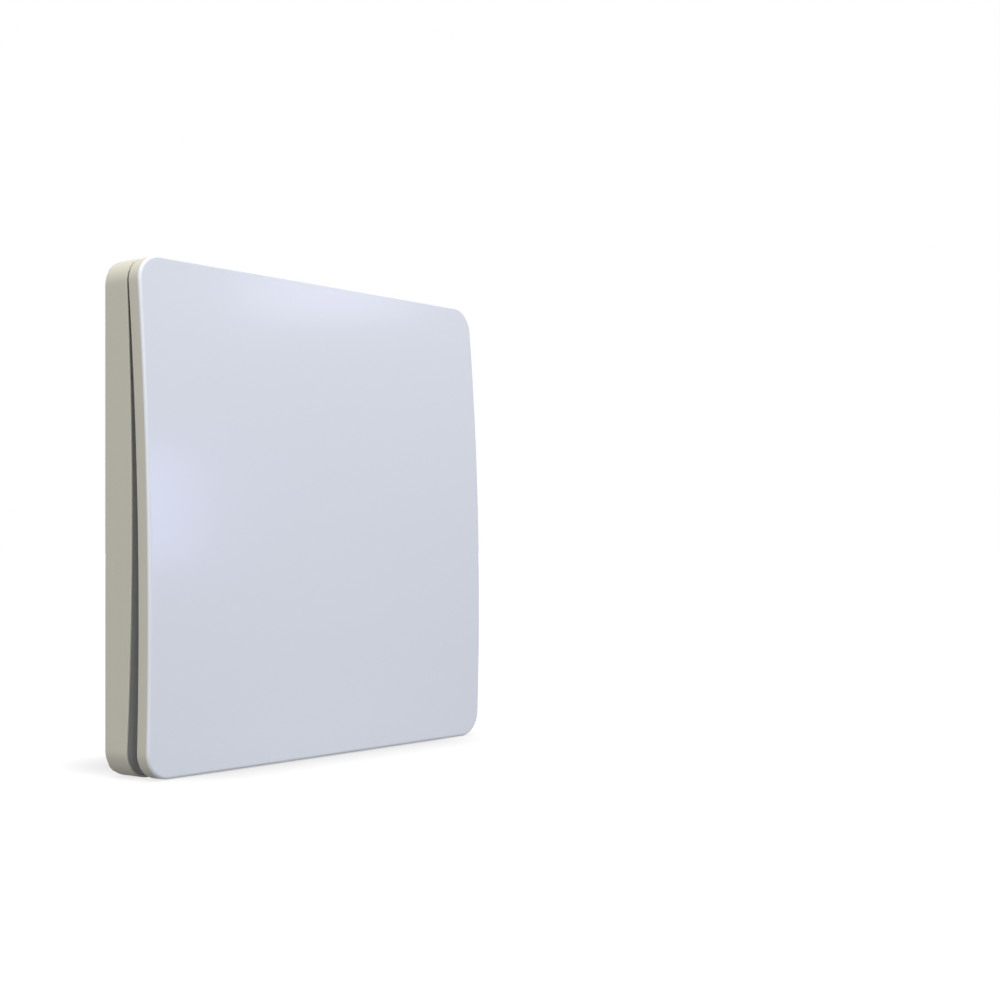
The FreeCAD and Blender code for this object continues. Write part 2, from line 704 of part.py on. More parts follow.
def pivot_cheeks(body):
    """Two pairs of cheeks behind the platform, bored for the pivot pins."""
    near, far = CHEEK_X, f"({LUG_X} + lug_thickness / 2 + side_clearance)"
    for start in (near, far, f"-{near} - cheek_thickness", f"-{far} - cheek_thickness"):
        side_view(body, start).rectangle(
            f"-{STEP_REAR} - frame_wall / 2", "lug_radius - pivot_depth",
            "-lug_radius", "lug_radius").pad("cheek_thickness")
    for start in (near, f"-{near} - {PIN_LENGTH}"):
        side_view(body, start).circle("-pivot_depth", "0", "pin_diameter").cut(PIN_LENGTH)


def bumper_pads():
    """Four soft blocks on the platform that stop the rocker at either end of its travel."""
    body = new_body("bumper_pads")
    blocks = front_view(body, BUMPER_REAR)
    for x, z in four_places(BUMPER_X, BUMPER_Z):
        blocks.square(x, z, "bumper_width", "bumper_height")
    blocks.pad(f"{BUMPER_FRONT} - {BUMPER_REAR}")
    return body


def pivot_pins():
    """Two steel pins, pressed into the frame's cheeks, on which the rocker's lugs turn."""
    body = new_body("pivot_pins")
    for start in (CHEEK_X, f"-{CHEEK_X} - {PIN_LENGTH}"):
        side_view(body, start).circle("-pivot_depth", "0", "pin_diameter").pad(PIN_LENGTH)
    return body


def frame_screws():
    """Four screws from behind the base floor into the bosses of the mid frame."""
    body = new_body("frame_screws")
    heads = front_view(body, FLOOR_REAR)
    shanks = front_view(body, FLOOR_REAR)
    for x, z in four_places(FRAME_SCREW_X, FRAME_SCREW_Z):
        heads.circle(x, z, "frame_head_diameter")
        shanks.circle(x, z, "frame_screw_diameter")
    heads.pad("frame_head_height")
    shanks.pad(f"{FRAME_SEAT} - {FLOOR_REAR} + frame_screw_grip - screw_clearance")
    return body


# Rocker

def rocker_carrier():
    """Moulded rocker: arched panel with a side wall, ribs, two lugs and the drive hook."""
    body = new_body("rocker_carrier")
    outline(front_view(body, FLOOR_FRONT), "0").pad(f"{FACE_FRONT} - {FLOOR_FRONT}")
    cut_behind(body, PANEL_REAR)
    rocker_ribs(body)
    rocker_ring(body)
    rocker_lugs(body)
    rocker_hook(body)
    cut_in_front(body, ROCKER_FRONT)
    tilt_about(body, "rest_tilt", "0")
    return body


def rocker_ribs(body):
    """Grid of shallow ribs behind the panel."""
    panel_end = "(outer_height / 2 - rocker_wall / 2)"
    panel_side = "(outer_width / 2 - rocker_wall / 2)"
    for place in (-2, -1, 1, 2):
        front_view(body, FLOOR_FRONT).rectangle(
            f"{place} * {RIB_X} - rib_thickness / 2", f"{place} * {RIB_X} + rib_thickness / 2",
            f"-{panel_end}", panel_end).pad(f"{ROCKER_FRONT} - {FLOOR_FRONT}")
    for place in (-1, 0, 1):
        front_view(body, FLOOR_FRONT).rectangle(
            f"-{panel_side}", panel_side,
            f"{place} * {RIB_Z} - rib_thickness / 2", f"{place} * {RIB_Z} + rib_thickness / 2").pad(
            f"{ROCKER_FRONT} - {FLOOR_FRONT}")
    cut_behind(body, RIB_REAR)


def rocker_ring(body):
    """Side wall round the rocker, its rear edge in parallel with the rim of the base."""
    ring = front_view(body, FLOOR_FRONT)
    outline(ring, "0")
    outline(ring, "rocker_wall")
    ring.pad(f"{ROCKER_FRONT} - {FLOOR_FRONT}")
    cut_behind(body, ROCKER_RIM)


def rocker_lugs(body):
    """Two lugs that reach back through the frame to the pivot pins."""
    for start in (f"{LUG_X} - lug_thickness / 2", f"-{LUG_X} - lug_thickness / 2"):
        side_view(body, start).polygon([
            ("-pivot_depth", "lug_radius"),
            (f"-{ROCKER_RIM}", "lug_radius"),
            (f"-{PANEL_REAR}", "lug_root"),
            (f"-{ROCKER_FRONT}", "lug_root"),
            (f"-{ROCKER_FRONT}", "-lug_root"),
            (f"-{PANEL_REAR}", "-lug_root"),
            (f"-{ROCKER_RIM}", "-lug_radius"),
            ("-pivot_depth", "-lug_radius")]).pad("lug_thickness")
        side_view(body, start).circle("-pivot_depth", "0", "2 * lug_radius").pad("lug_thickness")
        side_view(body, start).circle(
            "-pivot_depth", "0", "pin_diameter + 2 * bearing_clearance").cut("lug_thickness")


def rocker_hook(body):
    """Flat hook behind the panel whose window grips the tongue of the leaf spring."""
    rear = "(pivot_depth - spring_thickness / 2 - hook_clearance - hook_lip)"
    front_view(body, rear).rectangle(
        "-hook_width / 2", "hook_width / 2",
        f"-{HOOK_REACH} - hook_thickness / 2", f"-{HOOK_REACH} + hook_thickness / 2").pad(
        f"{PANEL_REAR} + panel_thickness / 2 - {rear}")
    window_depth = "(spring_thickness + 2 * hook_clearance)"
    front_view(body, f"pivot_depth - {window_depth} / 2").rectangle(
        "-spring_tongue_width / 2 - hook_clearance", "spring_tongue_width / 2 + hook_clearance",
        f"-{HOOK_REACH} - hook_thickness", f"-{HOOK_REACH} + hook_thickness").cut(window_depth)


def rocker_face():
    """Glossy plate with a rounded edge, bonded to the front of the rocker."""
    body = new_body("rocker_face")
    outline(front_view(body, FLOOR_FRONT), "0").pad(f"{FACE_FRONT} - {FLOOR_FRONT} + crown_rise")
    cut_behind(body, ROCKER_FRONT)
    cut_in_front(body, FACE_FRONT)
    fillet_front_edge(body, "face_fillet")
    tilt_about(body, "rest_tilt", "0")
    return body


# Generator, fixed side

def generator_tray():
    """Moulded tray with snap bearings for the swing and blocks under the yoke."""
    body = new_body("generator_tray")
    front_view(body, FLOOR_FRONT).rectangle(
        f"-{TRAY_HALF_WIDTH}", TRAY_HALF_WIDTH,
        f"{SWING_BAR_BOTTOM} - fit_clearance", TRAY_TOP).pad("tray_floor")
    edge_notches(body, *TRAY_CATCHES, FLOOR_FRONT, "tray_floor")
    blocks = front_view(body, TRAY_FRONT)
    near, far = "lead_x - lead_channel / 2", "lead_x + lead_channel / 2"
    for left, right in (*two_sides(far, CORE_HALF_WIDTH), (f"-({near})", near)):
        blocks.rectangle(left, right, YOKE_BOTTOM, YOKE_TOP)
    blocks.pad(f"{CORE_REAR} - {TRAY_FRONT}")
    pilots = front_view(body, f"{TRAY_FRONT} - tray_floor / 2")
    for sign in "-+":
        pilots.circle(f"{sign}generator_screw_x", YOKE_MIDDLE, "generator_screw_diameter")
    pilots.cut(f"{CORE_REAR} - {TRAY_FRONT} + tray_floor / 2")
    for start in (CRADLE_X, f"-{TRAY_HALF_WIDTH}"):
        side_view(body, start).rectangle(
            "-pivot_depth - trunnion_diameter", f"-{TRAY_FRONT} + tray_floor / 2",
            "-swing_reach - cradle_width / 2", "-swing_reach + cradle_width / 2").pad(
            "cradle_thickness")
        side_view(body, start).circle(
            "-pivot_depth", "-swing_reach", "trunnion_diameter + 2 * bearing_clearance").cut(
            "cradle_thickness")
        side_view(body, start).rectangle(
            "-pivot_depth - 2 * trunnion_diameter", "-pivot_depth",
            "-swing_reach - cradle_mouth / 2", "-swing_reach + cradle_mouth / 2").cut(
            "cradle_thickness")
    return body


def iron_core():
    """E-shaped soft-iron core; the middle leg carries the coil."""
    body = new_body("iron_core")
    middle_tip = "-swing_reach + magnet_height / 2 + magnet_air_gap"
    outer_tip = "-swing_reach - pole_arm + swing_clearance"
    half_leg = "centre_leg_width / 2"
    front_view(body, CORE_REAR).polygon([
        (f"-{CORE_HALF_WIDTH}", YOKE_TOP), (f"-{CORE_HALF_WIDTH}", outer_tip),
        (f"-{OUTER_LEG_X}", outer_tip), (f"-{OUTER_LEG_X}", YOKE_BOTTOM),
        (f"-{half_leg}", YOKE_BOTTOM), (f"-{half_leg}", middle_tip),
        (half_leg, middle_tip), (half_leg, YOKE_BOTTOM),
        (OUTER_LEG_X, YOKE_BOTTOM), (OUTER_LEG_X, outer_tip),
        (CORE_HALF_WIDTH, outer_tip), (CORE_HALF_WIDTH, YOKE_TOP)]).pad("core_thickness")
    holes = front_view(body, CORE_REAR)
    for sign in "-+":
        holes.circle(f"{sign}generator_screw_x", YOKE_MIDDLE,
                     "generator_screw_diameter + 2 * fit_clearance")
    holes.cut("core_thickness")
    return body


def bobbin():
    """Coil former: a flat sleeve on the middle leg with a flange at each end."""
    body = new_body("bobbin")
    floor_view(body, BOBBIN_BOTTOM).rectangle(
        "-centre_leg_width / 2 - bobbin_wall", "centre_leg_width / 2 + bobbin_wall",
        f"-{CORE_FRONT} - bobbin_wall", f"-{CORE_REAR} + bobbin_wall").pad("bobbin_length")
    for bottom in (BOBBIN_BOTTOM, f"{YOKE_BOTTOM} - flange_thickness"):
        floor_view(body, bottom).rectangle(
            f"-{FLANGE_HALF_WIDTH}", FLANGE_HALF_WIDTH,
            f"-pivot_depth - {FLANGE_HALF_DEPTH}", f"-pivot_depth + {FLANGE_HALF_DEPTH}").pad(
            "flange_thickness")
    floor_view(body, BOBBIN_BOTTOM).rectangle(
        "-centre_leg_width / 2", "centre_leg_width / 2",
        f"-{CORE_FRONT}", f"-{CORE_REAR}").cut("bobbin_length")
    return body


def coil():
    """Copper winding between the flanges of the bobbin."""
    body = new_body("coil")
    winding = floor_view(body, f"{BOBBIN_BOTTOM} + flange_thickness")
    winding.rounded_rectangle(
        f"{FLANGE_HALF_WIDTH} - winding_inset", f"{FLANGE_HALF_DEPTH} - winding_inset",
        "winding_radius", "0", "-pivot_depth")
    winding.rectangle(
        "-centre_leg_width / 2 - bobbin_wall", "centre_leg_width / 2 + bobbin_wall",
        f"-{CORE_FRONT} - bobbin_wall", f"-{CORE_REAR} + bobbin_wall")
    winding.pad("bobbin_length - 2 * flange_thickness")
    return body


def core_clip():
    """Steel strap that clamps the yoke on the tray."""
    body = new_body("core_clip")
    strap = front_view(body, CORE_FRONT)
    strap.rectangle(f"-{CORE_HALF_WIDTH}", CORE_HALF_WIDTH, YOKE_BOTTOM, YOKE_TOP)
    for sign in "-+":
        strap.circle(f"{sign}generator_screw_x", YOKE_MIDDLE,
                     "generator_screw_diameter + 2 * fit_clearance")
    strap.pad("clip_thickness")
    return body


def generator_screws():
    """Two screws through clip and yoke into the tray."""
    body = new_body("generator_screws")
    shank_end = f"{TRAY_FRONT} - tray_floor / 2"
    clip_front = f"({CORE_FRONT} + clip_thickness)"
    shanks = front_view(body, shank_end)
    heads = front_view(body, clip_front)
    for sign in "-+":
        place = (f"{sign}generator_screw_x", YOKE_MIDDLE)
        shanks.circle(*place, "generator_screw_diameter")
        heads.circle(*place, "generator_head_diameter")
    shanks.pad(f"{clip_front} - ({shank_end})")
    heads.pad("generator_head_height")
    return body


def coil_leads():
    """Two wires from the bobbin, under the yoke, to the circuit board."""
    body = new_body("coil_leads")
    wires = floor_view(body, YOKE_BOTTOM)
    for sign in "-+":
        wires.circle(f"{sign}lead_x", f"-{BOARD_FRONT} - lead_diameter / 2", "lead_diameter")
    wires.pad(f"{BOARD_BOTTOM} + lead_lap - {YOKE_BOTTOM}")
    return body


# Generator, swinging side

def magnet_carrier():
    """Moulded frame that holds magnet and pole plates and turns on two trunnions."""
    body = new_body("magnet_carrier")
    half_depth = "swing_cheek_depth / 2"
    for start in (POLE_HALF_WIDTH, f"-{SWING_HALF_WIDTH}"):
        side_view(body, start).rectangle(
            f"-pivot_depth - {half_depth}", f"-pivot_depth + {half_depth}",
            SWING_BAR_BOTTOM, "-swing_reach + trunnion_diameter").pad("swing_cheek_thickness")
    side_view(body).rectangle(
        "-pivot_depth - swing_bar_depth / 2", "-pivot_depth + swing_bar_depth / 2",
        SWING_BAR_BOTTOM, SWING_BAR_TOP).pad_both_ways(f"2 * {SWING_HALF_WIDTH}")
    front_view(body, "pivot_depth - spring_thickness / 2").rectangle(
        "-spring_width / 2", "spring_width / 2",
        SWING_BAR_BOTTOM, SWING_BAR_TOP).cut("spring_thickness")
    for start in (SWING_HALF_WIDTH, f"-{SWING_HALF_WIDTH} - trunnion_length"):
        side_view(body, start).circle(
            "-pivot_depth", "-swing_reach", "trunnion_diameter").pad("trunnion_length")
    tilt_about(body, SWING_TILT, SWING_AXIS)
    return body


def magnet():
    """Bar magnet on the swing's axis, magnetised from front to back."""
    body = new_body("magnet")
    front_view(body, f"pivot_depth - {POLE_OFFSET}").rectangle(
        "-magnet_length / 2", "magnet_length / 2",
        "-swing_reach - magnet_height / 2", "-swing_reach + magnet_height / 2").pad(
        f"2 * {POLE_OFFSET}")
    tilt_about(body, SWING_TILT, SWING_AXIS)
    return body


def pole_plate(label, rear_depth):
    """T-shaped iron plate: narrow over the middle leg, wide over both outer legs."""
    body = new_body(label)
    step = "-swing_reach - magnet_height / 2"
    half_stem = "magnet_length / 2"
    front_view(body, rear_depth).polygon([
        (f"-{POLE_HALF_WIDTH}", SWING_BAR_TOP), (POLE_HALF_WIDTH, SWING_BAR_TOP),
        (POLE_HALF_WIDTH, step), (half_stem, step),
        (half_stem, "-swing_reach + pole_arm"), (f"-{half_stem}", "-swing_reach + pole_arm"),
        (f"-{half_stem}", step), (f"-{POLE_HALF_WIDTH}", step)]).pad("pole_thickness")
    tilt_about(body, SWING_TILT, SWING_AXIS)
    return body


def drive_spring():
    """Leaf spring, moulded into the carrier's bar; its tongue runs in the window of the hook."""
    body = new_body("drive_spring")
    tip = f"-{HOOK_REACH} - spring_overhang"
    shoulder = f"{SWING_BAR_BOTTOM} - swing_clearance"
    half_width, half_tongue = "spring_width / 2", "spring_tongue_width / 2"
    front_view(body, "pivot_depth - spring_thickness / 2").polygon([
        (f"-{half_width}", SWING_BAR_TOP), (f"-{half_width}", shoulder),
        (f"-{half_tongue}", shoulder), (f"-{half_tongue}", tip),
        (half_tongue, tip), (half_tongue, shoulder),
        (half_width, shoulder), (half_width, SWING_BAR_TOP)]).pad("spring_thickness")
    tilt_about(body, SWING_TILT, SWING_AXIS)
    return body


# Circuit board and what is soldered on it

def circuit_board():
    """Board above the generator, on two posts and in four catches of the base floor."""
    body = new_body("circuit_board")
    front_view(body, BOARD_REAR).rectangle(
        f"-{BOARD_HALF_WIDTH}", BOARD_HALF_WIDTH, BOARD_BOTTOM, BOARD_TOP).pad("board_thickness")
    edge_notches(body, *BOARD_CATCHES, BOARD_REAR, "board_thickness")
    return body


def component(label, places, width, height, thickness):
    """Moulded component, or a row of like ones, on the front of the board."""
    body = new_body(label)
    blocks = front_view(body, BOARD_FRONT)
    for x, z in places:
        blocks.square(x, z, width, height)
    blocks.pad(thickness)
    return body


def antenna():
    """Pressed strip antenna along the top of the board, on two feet."""
    body = new_body("antenna")
    top = f"({BOARD_TOP} - antenna_inset)"
    low = f"({top} - antenna_drop_share * {BOARD_HEIGHT})"
    left, right = f"-antenna_share * {BOARD_HALF_WIDTH}", f"antenna_share * {BOARD_HALF_WIDTH}"
    second = f"{left} + antenna_pitch"
    front_view(body, f"{BOARD_FRONT} + antenna_lift").polygon([
        (left, top), (left, low), (f"{left} + antenna_strip", low),
        (f"{left} + antenna_strip", f"{top} - antenna_strip"),
        (second, f"{top} - antenna_strip"), (second, low), (f"{second} + antenna_strip", low),
        (f"{second} + antenna_strip", f"{top} - antenna_strip"),
        (right, f"{top} - antenna_strip"), (right, top)]).pad("antenna_thickness")
    feet = front_view(body, BOARD_FRONT)
    for start in (left, second):
        feet.rectangle(start, f"{start} + antenna_strip", low, f"{low} + antenna_strip")
    feet.pad("antenna_lift + antenna_thickness / 2")
    return body


def board_components():
    """All that is soldered on the board."""
    component("radio_chip", [(f"chip_share * {BOARD_HALF_WIDTH}", BOARD_MIDDLE)],
              "chip_size", "chip_size", "chip_height")
    component("crystal", [(f"crystal_share * {BOARD_HALF_WIDTH}", f"{BOARD_BOTTOM} + crystal_edge")],
              "crystal_width", "crystal_height", "crystal_thickness")
    component("rectifier", [(f"-rectifier_share * {BOARD_HALF_WIDTH}", BOARD_MIDDLE)],
              "rectifier_width", "rectifier_height", "rectifier_thickness")
    row_x, row_z = f"-capacitor_share * {BOARD_HALF_WIDTH}", f"{BOARD_BOTTOM} + capacitor_edge"
    component("storage_capacitors", [(row_x, row_z), (row_x, f"{row_z} + capacitor_pitch")],
              "capacitor_width", "capacitor_height", "capacitor_thickness")
    component("power_inductor", [("0", BOARD_MIDDLE)],
              "inductor_size", "inductor_size", "inductor_thickness")
    antenna()


def check_and_export():
    """Stop on any failed object, then write each sub-part to its own file."""
    doc.recompute()
    for item in doc.Objects:
        if {"Invalid", "Error"} & set(item.State):
            raise RuntimeError(f"{item.Label} failed: {item.State}")
    os.makedirs("parts", exist_ok=True)
    for body in SUB_PARTS:
        if body.Shape.isNull() or not body.Shape.isValid():
            raise RuntimeError(f"{body.Label} has no valid shape")
        body.Shape.exportStep(f"parts/{body.Label}.step")


wall_plate()
adhesive_pads()
base_shell()
mid_frame()
bumper_pads()
pivot_pins()
frame_screws()
rocker_carrier()
rocker_face()
generator_tray()
iron_core()
bobbin()
coil()
core_clip()
generator_screws()
coil_leads()
magnet_carrier()
magnet()
pole_plate("front_pole_plate", f"pivot_depth + {POLE_OFFSET}")
pole_plate("rear_pole_plate", f"pivot_depth - {POLE_OFFSET} - pole_thickness")
drive_spring()
circuit_board()
board_components()
check_and_export()
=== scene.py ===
import bmesh
import bpy
import json
import math
from contextlib import contextmanager
from mathutils import Matrix, Vector


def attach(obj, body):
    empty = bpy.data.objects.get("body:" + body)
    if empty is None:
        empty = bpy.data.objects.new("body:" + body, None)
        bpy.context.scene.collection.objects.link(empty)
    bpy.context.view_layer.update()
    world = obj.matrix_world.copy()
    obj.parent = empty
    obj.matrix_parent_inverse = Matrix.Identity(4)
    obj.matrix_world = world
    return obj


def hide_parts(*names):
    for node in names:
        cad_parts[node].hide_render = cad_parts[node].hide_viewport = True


mm = 0.001
weld = 0.001 * mm   # points closer than this are one

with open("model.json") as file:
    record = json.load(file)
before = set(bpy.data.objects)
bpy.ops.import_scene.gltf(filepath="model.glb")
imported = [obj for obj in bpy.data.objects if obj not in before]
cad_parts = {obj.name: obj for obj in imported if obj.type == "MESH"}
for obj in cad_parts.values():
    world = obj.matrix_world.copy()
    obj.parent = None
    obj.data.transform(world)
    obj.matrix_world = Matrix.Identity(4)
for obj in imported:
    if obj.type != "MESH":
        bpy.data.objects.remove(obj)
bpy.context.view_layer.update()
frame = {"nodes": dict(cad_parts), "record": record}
nodes = frame["nodes"]
print("frame loaded:", len(nodes), "nodes")

# the outline that all the outer pieces share: a square whose front edges follow one shallow arc
outline = {
    "half": 43.0,          # half of the 86 mm square
    "corner": 4.6,         # radius of the corners
    "rise": 1.5,           # how much further the middle stands out than the ends
    "cornerSteps": 18,     # points of each corner
    "sideSteps": 48,       # points of each straight side
    "holdLine": 0.12,      # support line beside each small round, so flat faces shade flat
    "arcSteps": 5,         # facets of each small round
    "overlap": 0.05,       # how far an inner part reaches into its outer wall
    "trimDepth": 30.0,     # half depth of the box that trims an inner part
}
crownRadius = (outline["half"] ** 2 + outline["rise"] ** 2) / (2 * outline["rise"])

# depths in front of the wall at mid height, as the source has them
depths = {
    "baseRim": 6.7,
    "ledge": 6.35,
    "ledgeRear": 5.15,
    "step": 7.15,
    "rockerRim": 8.26,
    "rockerFront": 10.52,
    "faceFront": 11.07,
}

pivot = {"depth": 5.2, "tilt": 1.55}   # the rocker's axis and its lean at rest
tiltAtRest = (Matrix.Translation((0, -pivot["depth"] * mm, 0))
              @ Matrix.Rotation(math.radians(-pivot["tilt"]), 4, "X")
              @ Matrix.Translation((0, pivot["depth"] * mm, 0)))


def sag(z):
    # how far the arc falls back at this height
    return crownRadius - math.sqrt(crownRadius ** 2 - z * z)


# node trees: a wire is one output of a node, and sums of wires add their Math nodes
class Wire:
    def __init__(self, tree, socket=None):
        self.tree = tree
        self.socket = socket

    def node(self, kind, settings=None, inputs=None, out=0):
        made = self.tree.nodes.new(kind)
        for name, value in (settings or {}).items():
            setattr(made, name, value)
        for name, value in (inputs or {}).items():
            if isinstance(value, Wire):
                self.tree.links.new(value.socket, made.inputs[name])
            else:
                made.inputs[name].default_value = value
        return Wire(self.tree, made.outputs[out])

    def into(self, kind, name):
        self.tree.links.new(self.socket, self.tree.nodes.new(kind).inputs[name])

    def math(self, operation, *values):
        return self.node("ShaderNodeMath", {"operation": operation}, dict(enumerate(values)))

    def mix(self, share, first, second):
        return self.node("ShaderNodeMix", {"data_type": "RGBA"},
                         {0: share, 6: asColour(first), 7: asColour(second)}, out=2)

    def __add__(self, other):
        return self.math("ADD", self, other)

    def __sub__(self, other):
        return self.math("SUBTRACT", self, other)

    def __mul__(self, other):
        return self.math("MULTIPLY", self, other)

    def __gt__(self, other):
        return self.math("GREATER_THAN", self, other)

    __radd__ = __add__


def asColour(value):
    return value if isinstance(value, Wire) else (*value, 1)


# Geometry Nodes: sweeps a section round the outline, then bends it to the arc
def makeSweepTree():
    tree = bpy.data.node_groups.new("crownedSweep", "GeometryNodeTree")
    sockets = tree.interface
    sockets.new_socket("Section", in_out="INPUT", socket_type="NodeSocketGeometry")
    for name, value in (("Half Width", outline["half"] * mm),
                        ("Half Height", outline["half"] * mm),
                        ("Corner Radius", outline["corner"] * mm),
                        ("Crown Radius", crownRadius * mm)):
        sockets.new_socket(name, in_out="INPUT", socket_type="NodeSocketFloat").default_value = value
    for name, value in (("Corner Steps", outline["cornerSteps"]),
                        ("Side Steps", outline["sideSteps"])):
        sockets.new_socket(name, in_out="INPUT", socket_type="NodeSocketInt").default_value = value
    for name, value in (("Turn", (math.pi / 2, 0, 0)), ("Place", (0, 0, 0))):
        sockets.new_socket(name, in_out="INPUT", socket_type="NodeSocketVector").default_value = value
    sockets.new_socket("Finish", in_out="INPUT", socket_type="NodeSocketMaterial")
    sockets.new_socket("Mesh", in_out="OUTPUT", socket_type="NodeSocketGeometry")
    net = Wire(tree)
    inputs = tree.nodes.new("NodeGroupInput")

    def given(name):
        return Wire(tree, inputs.outputs[name])

    section = net.node("GeometryNodeMeshToCurve", {}, {"Mesh": given("Section")})
    square = net.node("GeometryNodeCurvePrimitiveQuadrilateral", {"mode": "RECTANGLE"},
                      {"Width": given("Half Width") * 2, "Height": given("Half Height") * 2})
    rounded = net.node("GeometryNodeFilletCurve", {"mode": "POLY"},
                       {"Curve": square, "Radius": given("Corner Radius"),
                        "Count": given("Corner Steps")})
    # only the long straight runs are divided
    place = net.node("GeometryNodeInputPosition")
    following = net.node("GeometryNodeOffsetPointInCurve", {}, {"Offset": 1}, out="Point Index")
    nextPlace = net.node("GeometryNodeFieldAtIndex", {"data_type": "FLOAT_VECTOR"},
                         {"Index": following, "Value": place})
    run = net.node("ShaderNodeVectorMath", {"operation": "DISTANCE"}, {0: place, 1: nextPlace},
                   out="Value")
    cuts = (run > given("Corner Radius")) * given("Side Steps")
    path = net.node("GeometryNodeSubdivideCurve", {}, {"Curve": rounded, "Cuts": cuts})
    upright = net.node("GeometryNodeSetCurveNormal", {"mode": "Z_UP"}, {"Curve": path})
    swept = net.node("GeometryNodeCurveToMesh", {}, {"Curve": upright, "Profile Curve": section})
    share = net.node("GeometryNodeInputNamedAttribute", {"data_type": "FLOAT"},
                     {"Name": "crownShare"})
    high = net.node("ShaderNodeSeparateXYZ", {}, {0: place}, out="Y")
    crown = given("Crown Radius")
    fall = crown - net.math("SQRT", crown * crown - high * high)
    offset = net.node("ShaderNodeCombineXYZ", {}, {"Z": fall * share * -1})
    bent = net.node("GeometryNodeSetPosition", {}, {"Geometry": swept, "Offset": offset})
    facing = net.node("GeometryNodeTransform", {},
                      {"Geometry": bent, "Rotation": given("Turn"), "Translation": given("Place")})
    smooth = net.node("GeometryNodeSetShadeSmooth", {}, {"Geometry": facing})
    whole = net.node("GeometryNodeRealizeInstances", {}, {"Geometry": smooth})
    done = net.node("GeometryNodeSetMaterial", {}, {"Geometry": whole, "Material": given("Finish")})
    done.into("NodeGroupOutput", 0)
    return tree


sweepTree = makeSweepTree()


@contextmanager
def editing(piece):
    mesh = bmesh.new()
    mesh.from_mesh(piece.data)
    yield mesh
    mesh.to_mesh(piece.data)
    mesh.free()


def settle(piece):
    # the modifier's result becomes the piece's own mesh
    graph = bpy.context.evaluated_depsgraph_get()
    result = bpy.data.meshes.new_from_object(piece.evaluated_get(graph))
    piece.modifiers.clear()
    piece.data = result
    return piece


def roundedSection(corners, closed=True):
    # corners hold (inset, depth, share of the arc, radius); a round becomes a short arc
    points = []
    count = len(corners)
    for index, (inset, depth, share, radius) in enumerate(corners):
        here = Vector((inset, depth))
        if radius == 0 or (not closed and index in (0, count - 1)):
            points.append((inset, depth, share))
            continue
        before, after = corners[index - 1], corners[(index + 1) % count]
        back = Vector(before[:2]) - here
        ahead = Vector(after[:2]) - here
        # support lines stay on the first third of what is flat between two rounds
        holdBack, holdAhead = (radius + min(outline["holdLine"], (run.length - radius - other) / 3)
                               for run, other in ((back, before[3]), (ahead, after[3])))
        back.normalize()
        ahead.normalize()
        centre = here + (back + ahead) * radius
        points.append((*(here + back * holdBack), share))
        for step in range(outline["arcSteps"] + 1):
            angle = math.pi / 2 * step / outline["arcSteps"]
            spot = centre - ahead * radius * math.cos(angle) - back * radius * math.sin(angle)
            points.append((*spot, share))
        points.append((*(here + ahead * holdAhead), share))
    return points


def sweepRound(name, points, finish, closed=True, path=()):
    # points hold (inset, depth, share of the arc); path changes inputs of the sweep by their names
    mesh = bpy.data.meshes.new(name)
    edges = [(i, i + 1) for i in range(len(points) - 1)]
    if closed:
        edges.append((len(points) - 1, 0))
    mesh.from_pydata([(-inset * mm, -depth * mm, 0) for inset, depth, share in points], edges, [])
    shares = mesh.attributes.new("crownShare", "FLOAT", "POINT")
    shares.data.foreach_set("value", [share for inset, depth, share in points])
    piece = bpy.data.objects.new(name, mesh)
    bpy.context.scene.collection.objects.link(piece)
    modifier = piece.modifiers.new("sweep", "NODES")
    modifier.node_group = sweepTree
    for item in sweepTree.interface.items_tree:
        if item.name == "Finish":
            modifier[item.identifier] = finish
        elif item.name in path:
            modifier[item.identifier] = path[item.name]
    return settle(piece)


def openLoops(mesh):
    # the corners of each open rim, in order
    loops = []
    rim = [edge for edge in mesh.edges if edge.is_boundary]
    while rim:
        start, spot = rim.pop().verts
        loop = [start]
        while spot != start:
            loop.append(spot)
            edge = next(edge for edge in spot.link_edges if edge in rim)
            rim.remove(edge)
            spot = edge.other_vert(spot)
        loops.append(loop)
    return loops


def crownCaps(piece, rings):
    # closes both open loops of a swept plate with rings that shrink to the middle
    with editing(piece) as mesh:
        for loop in openLoops(mesh):
            middleDepth = -loop[0].co.y + sag(loop[0].co.z / mm) * mm
            outer = loop
            for ring in range(1, rings):
                scale = 1 - ring / rings
                inner = []
                for vert in loop:
                    x, z = vert.co.x * scale, vert.co.z * scale
                    inner.append(mesh.verts.new((x, sag(z / mm) * mm - middleDepth, z)))
                for i in range(len(loop)):
                    j = (i + 1) % len(loop)
                    mesh.faces.new((outer[i], outer[j], inner[j], inner[i]))
                outer = inner
            centre = mesh.verts.new((0, -middleDepth, 0))
            for i in range(len(loop)):
                mesh.faces.new((outer[i], outer[(i + 1) % len(loop)], centre))
        bmesh.ops.recalc_face_normals(mesh, faces=mesh.faces)
        for face in mesh.faces:
            face.smooth = True


def boxMesh(name, low, high):
    mesh = bpy.data.meshes.new(name)
    shape = bmesh.new()
    bmesh.ops.create_cube(shape, size=1)
    for vert in shape.verts:
        vert.co = [a + (b - a) * (c + 0.5) for a, b, c in zip(low, high, vert.co)]
    shape.to_mesh(mesh)
    shape.free()
    piece = bpy.data.objects.new(name, mesh)
    bpy.context.scene.collection.objects.link(piece)
    return piece


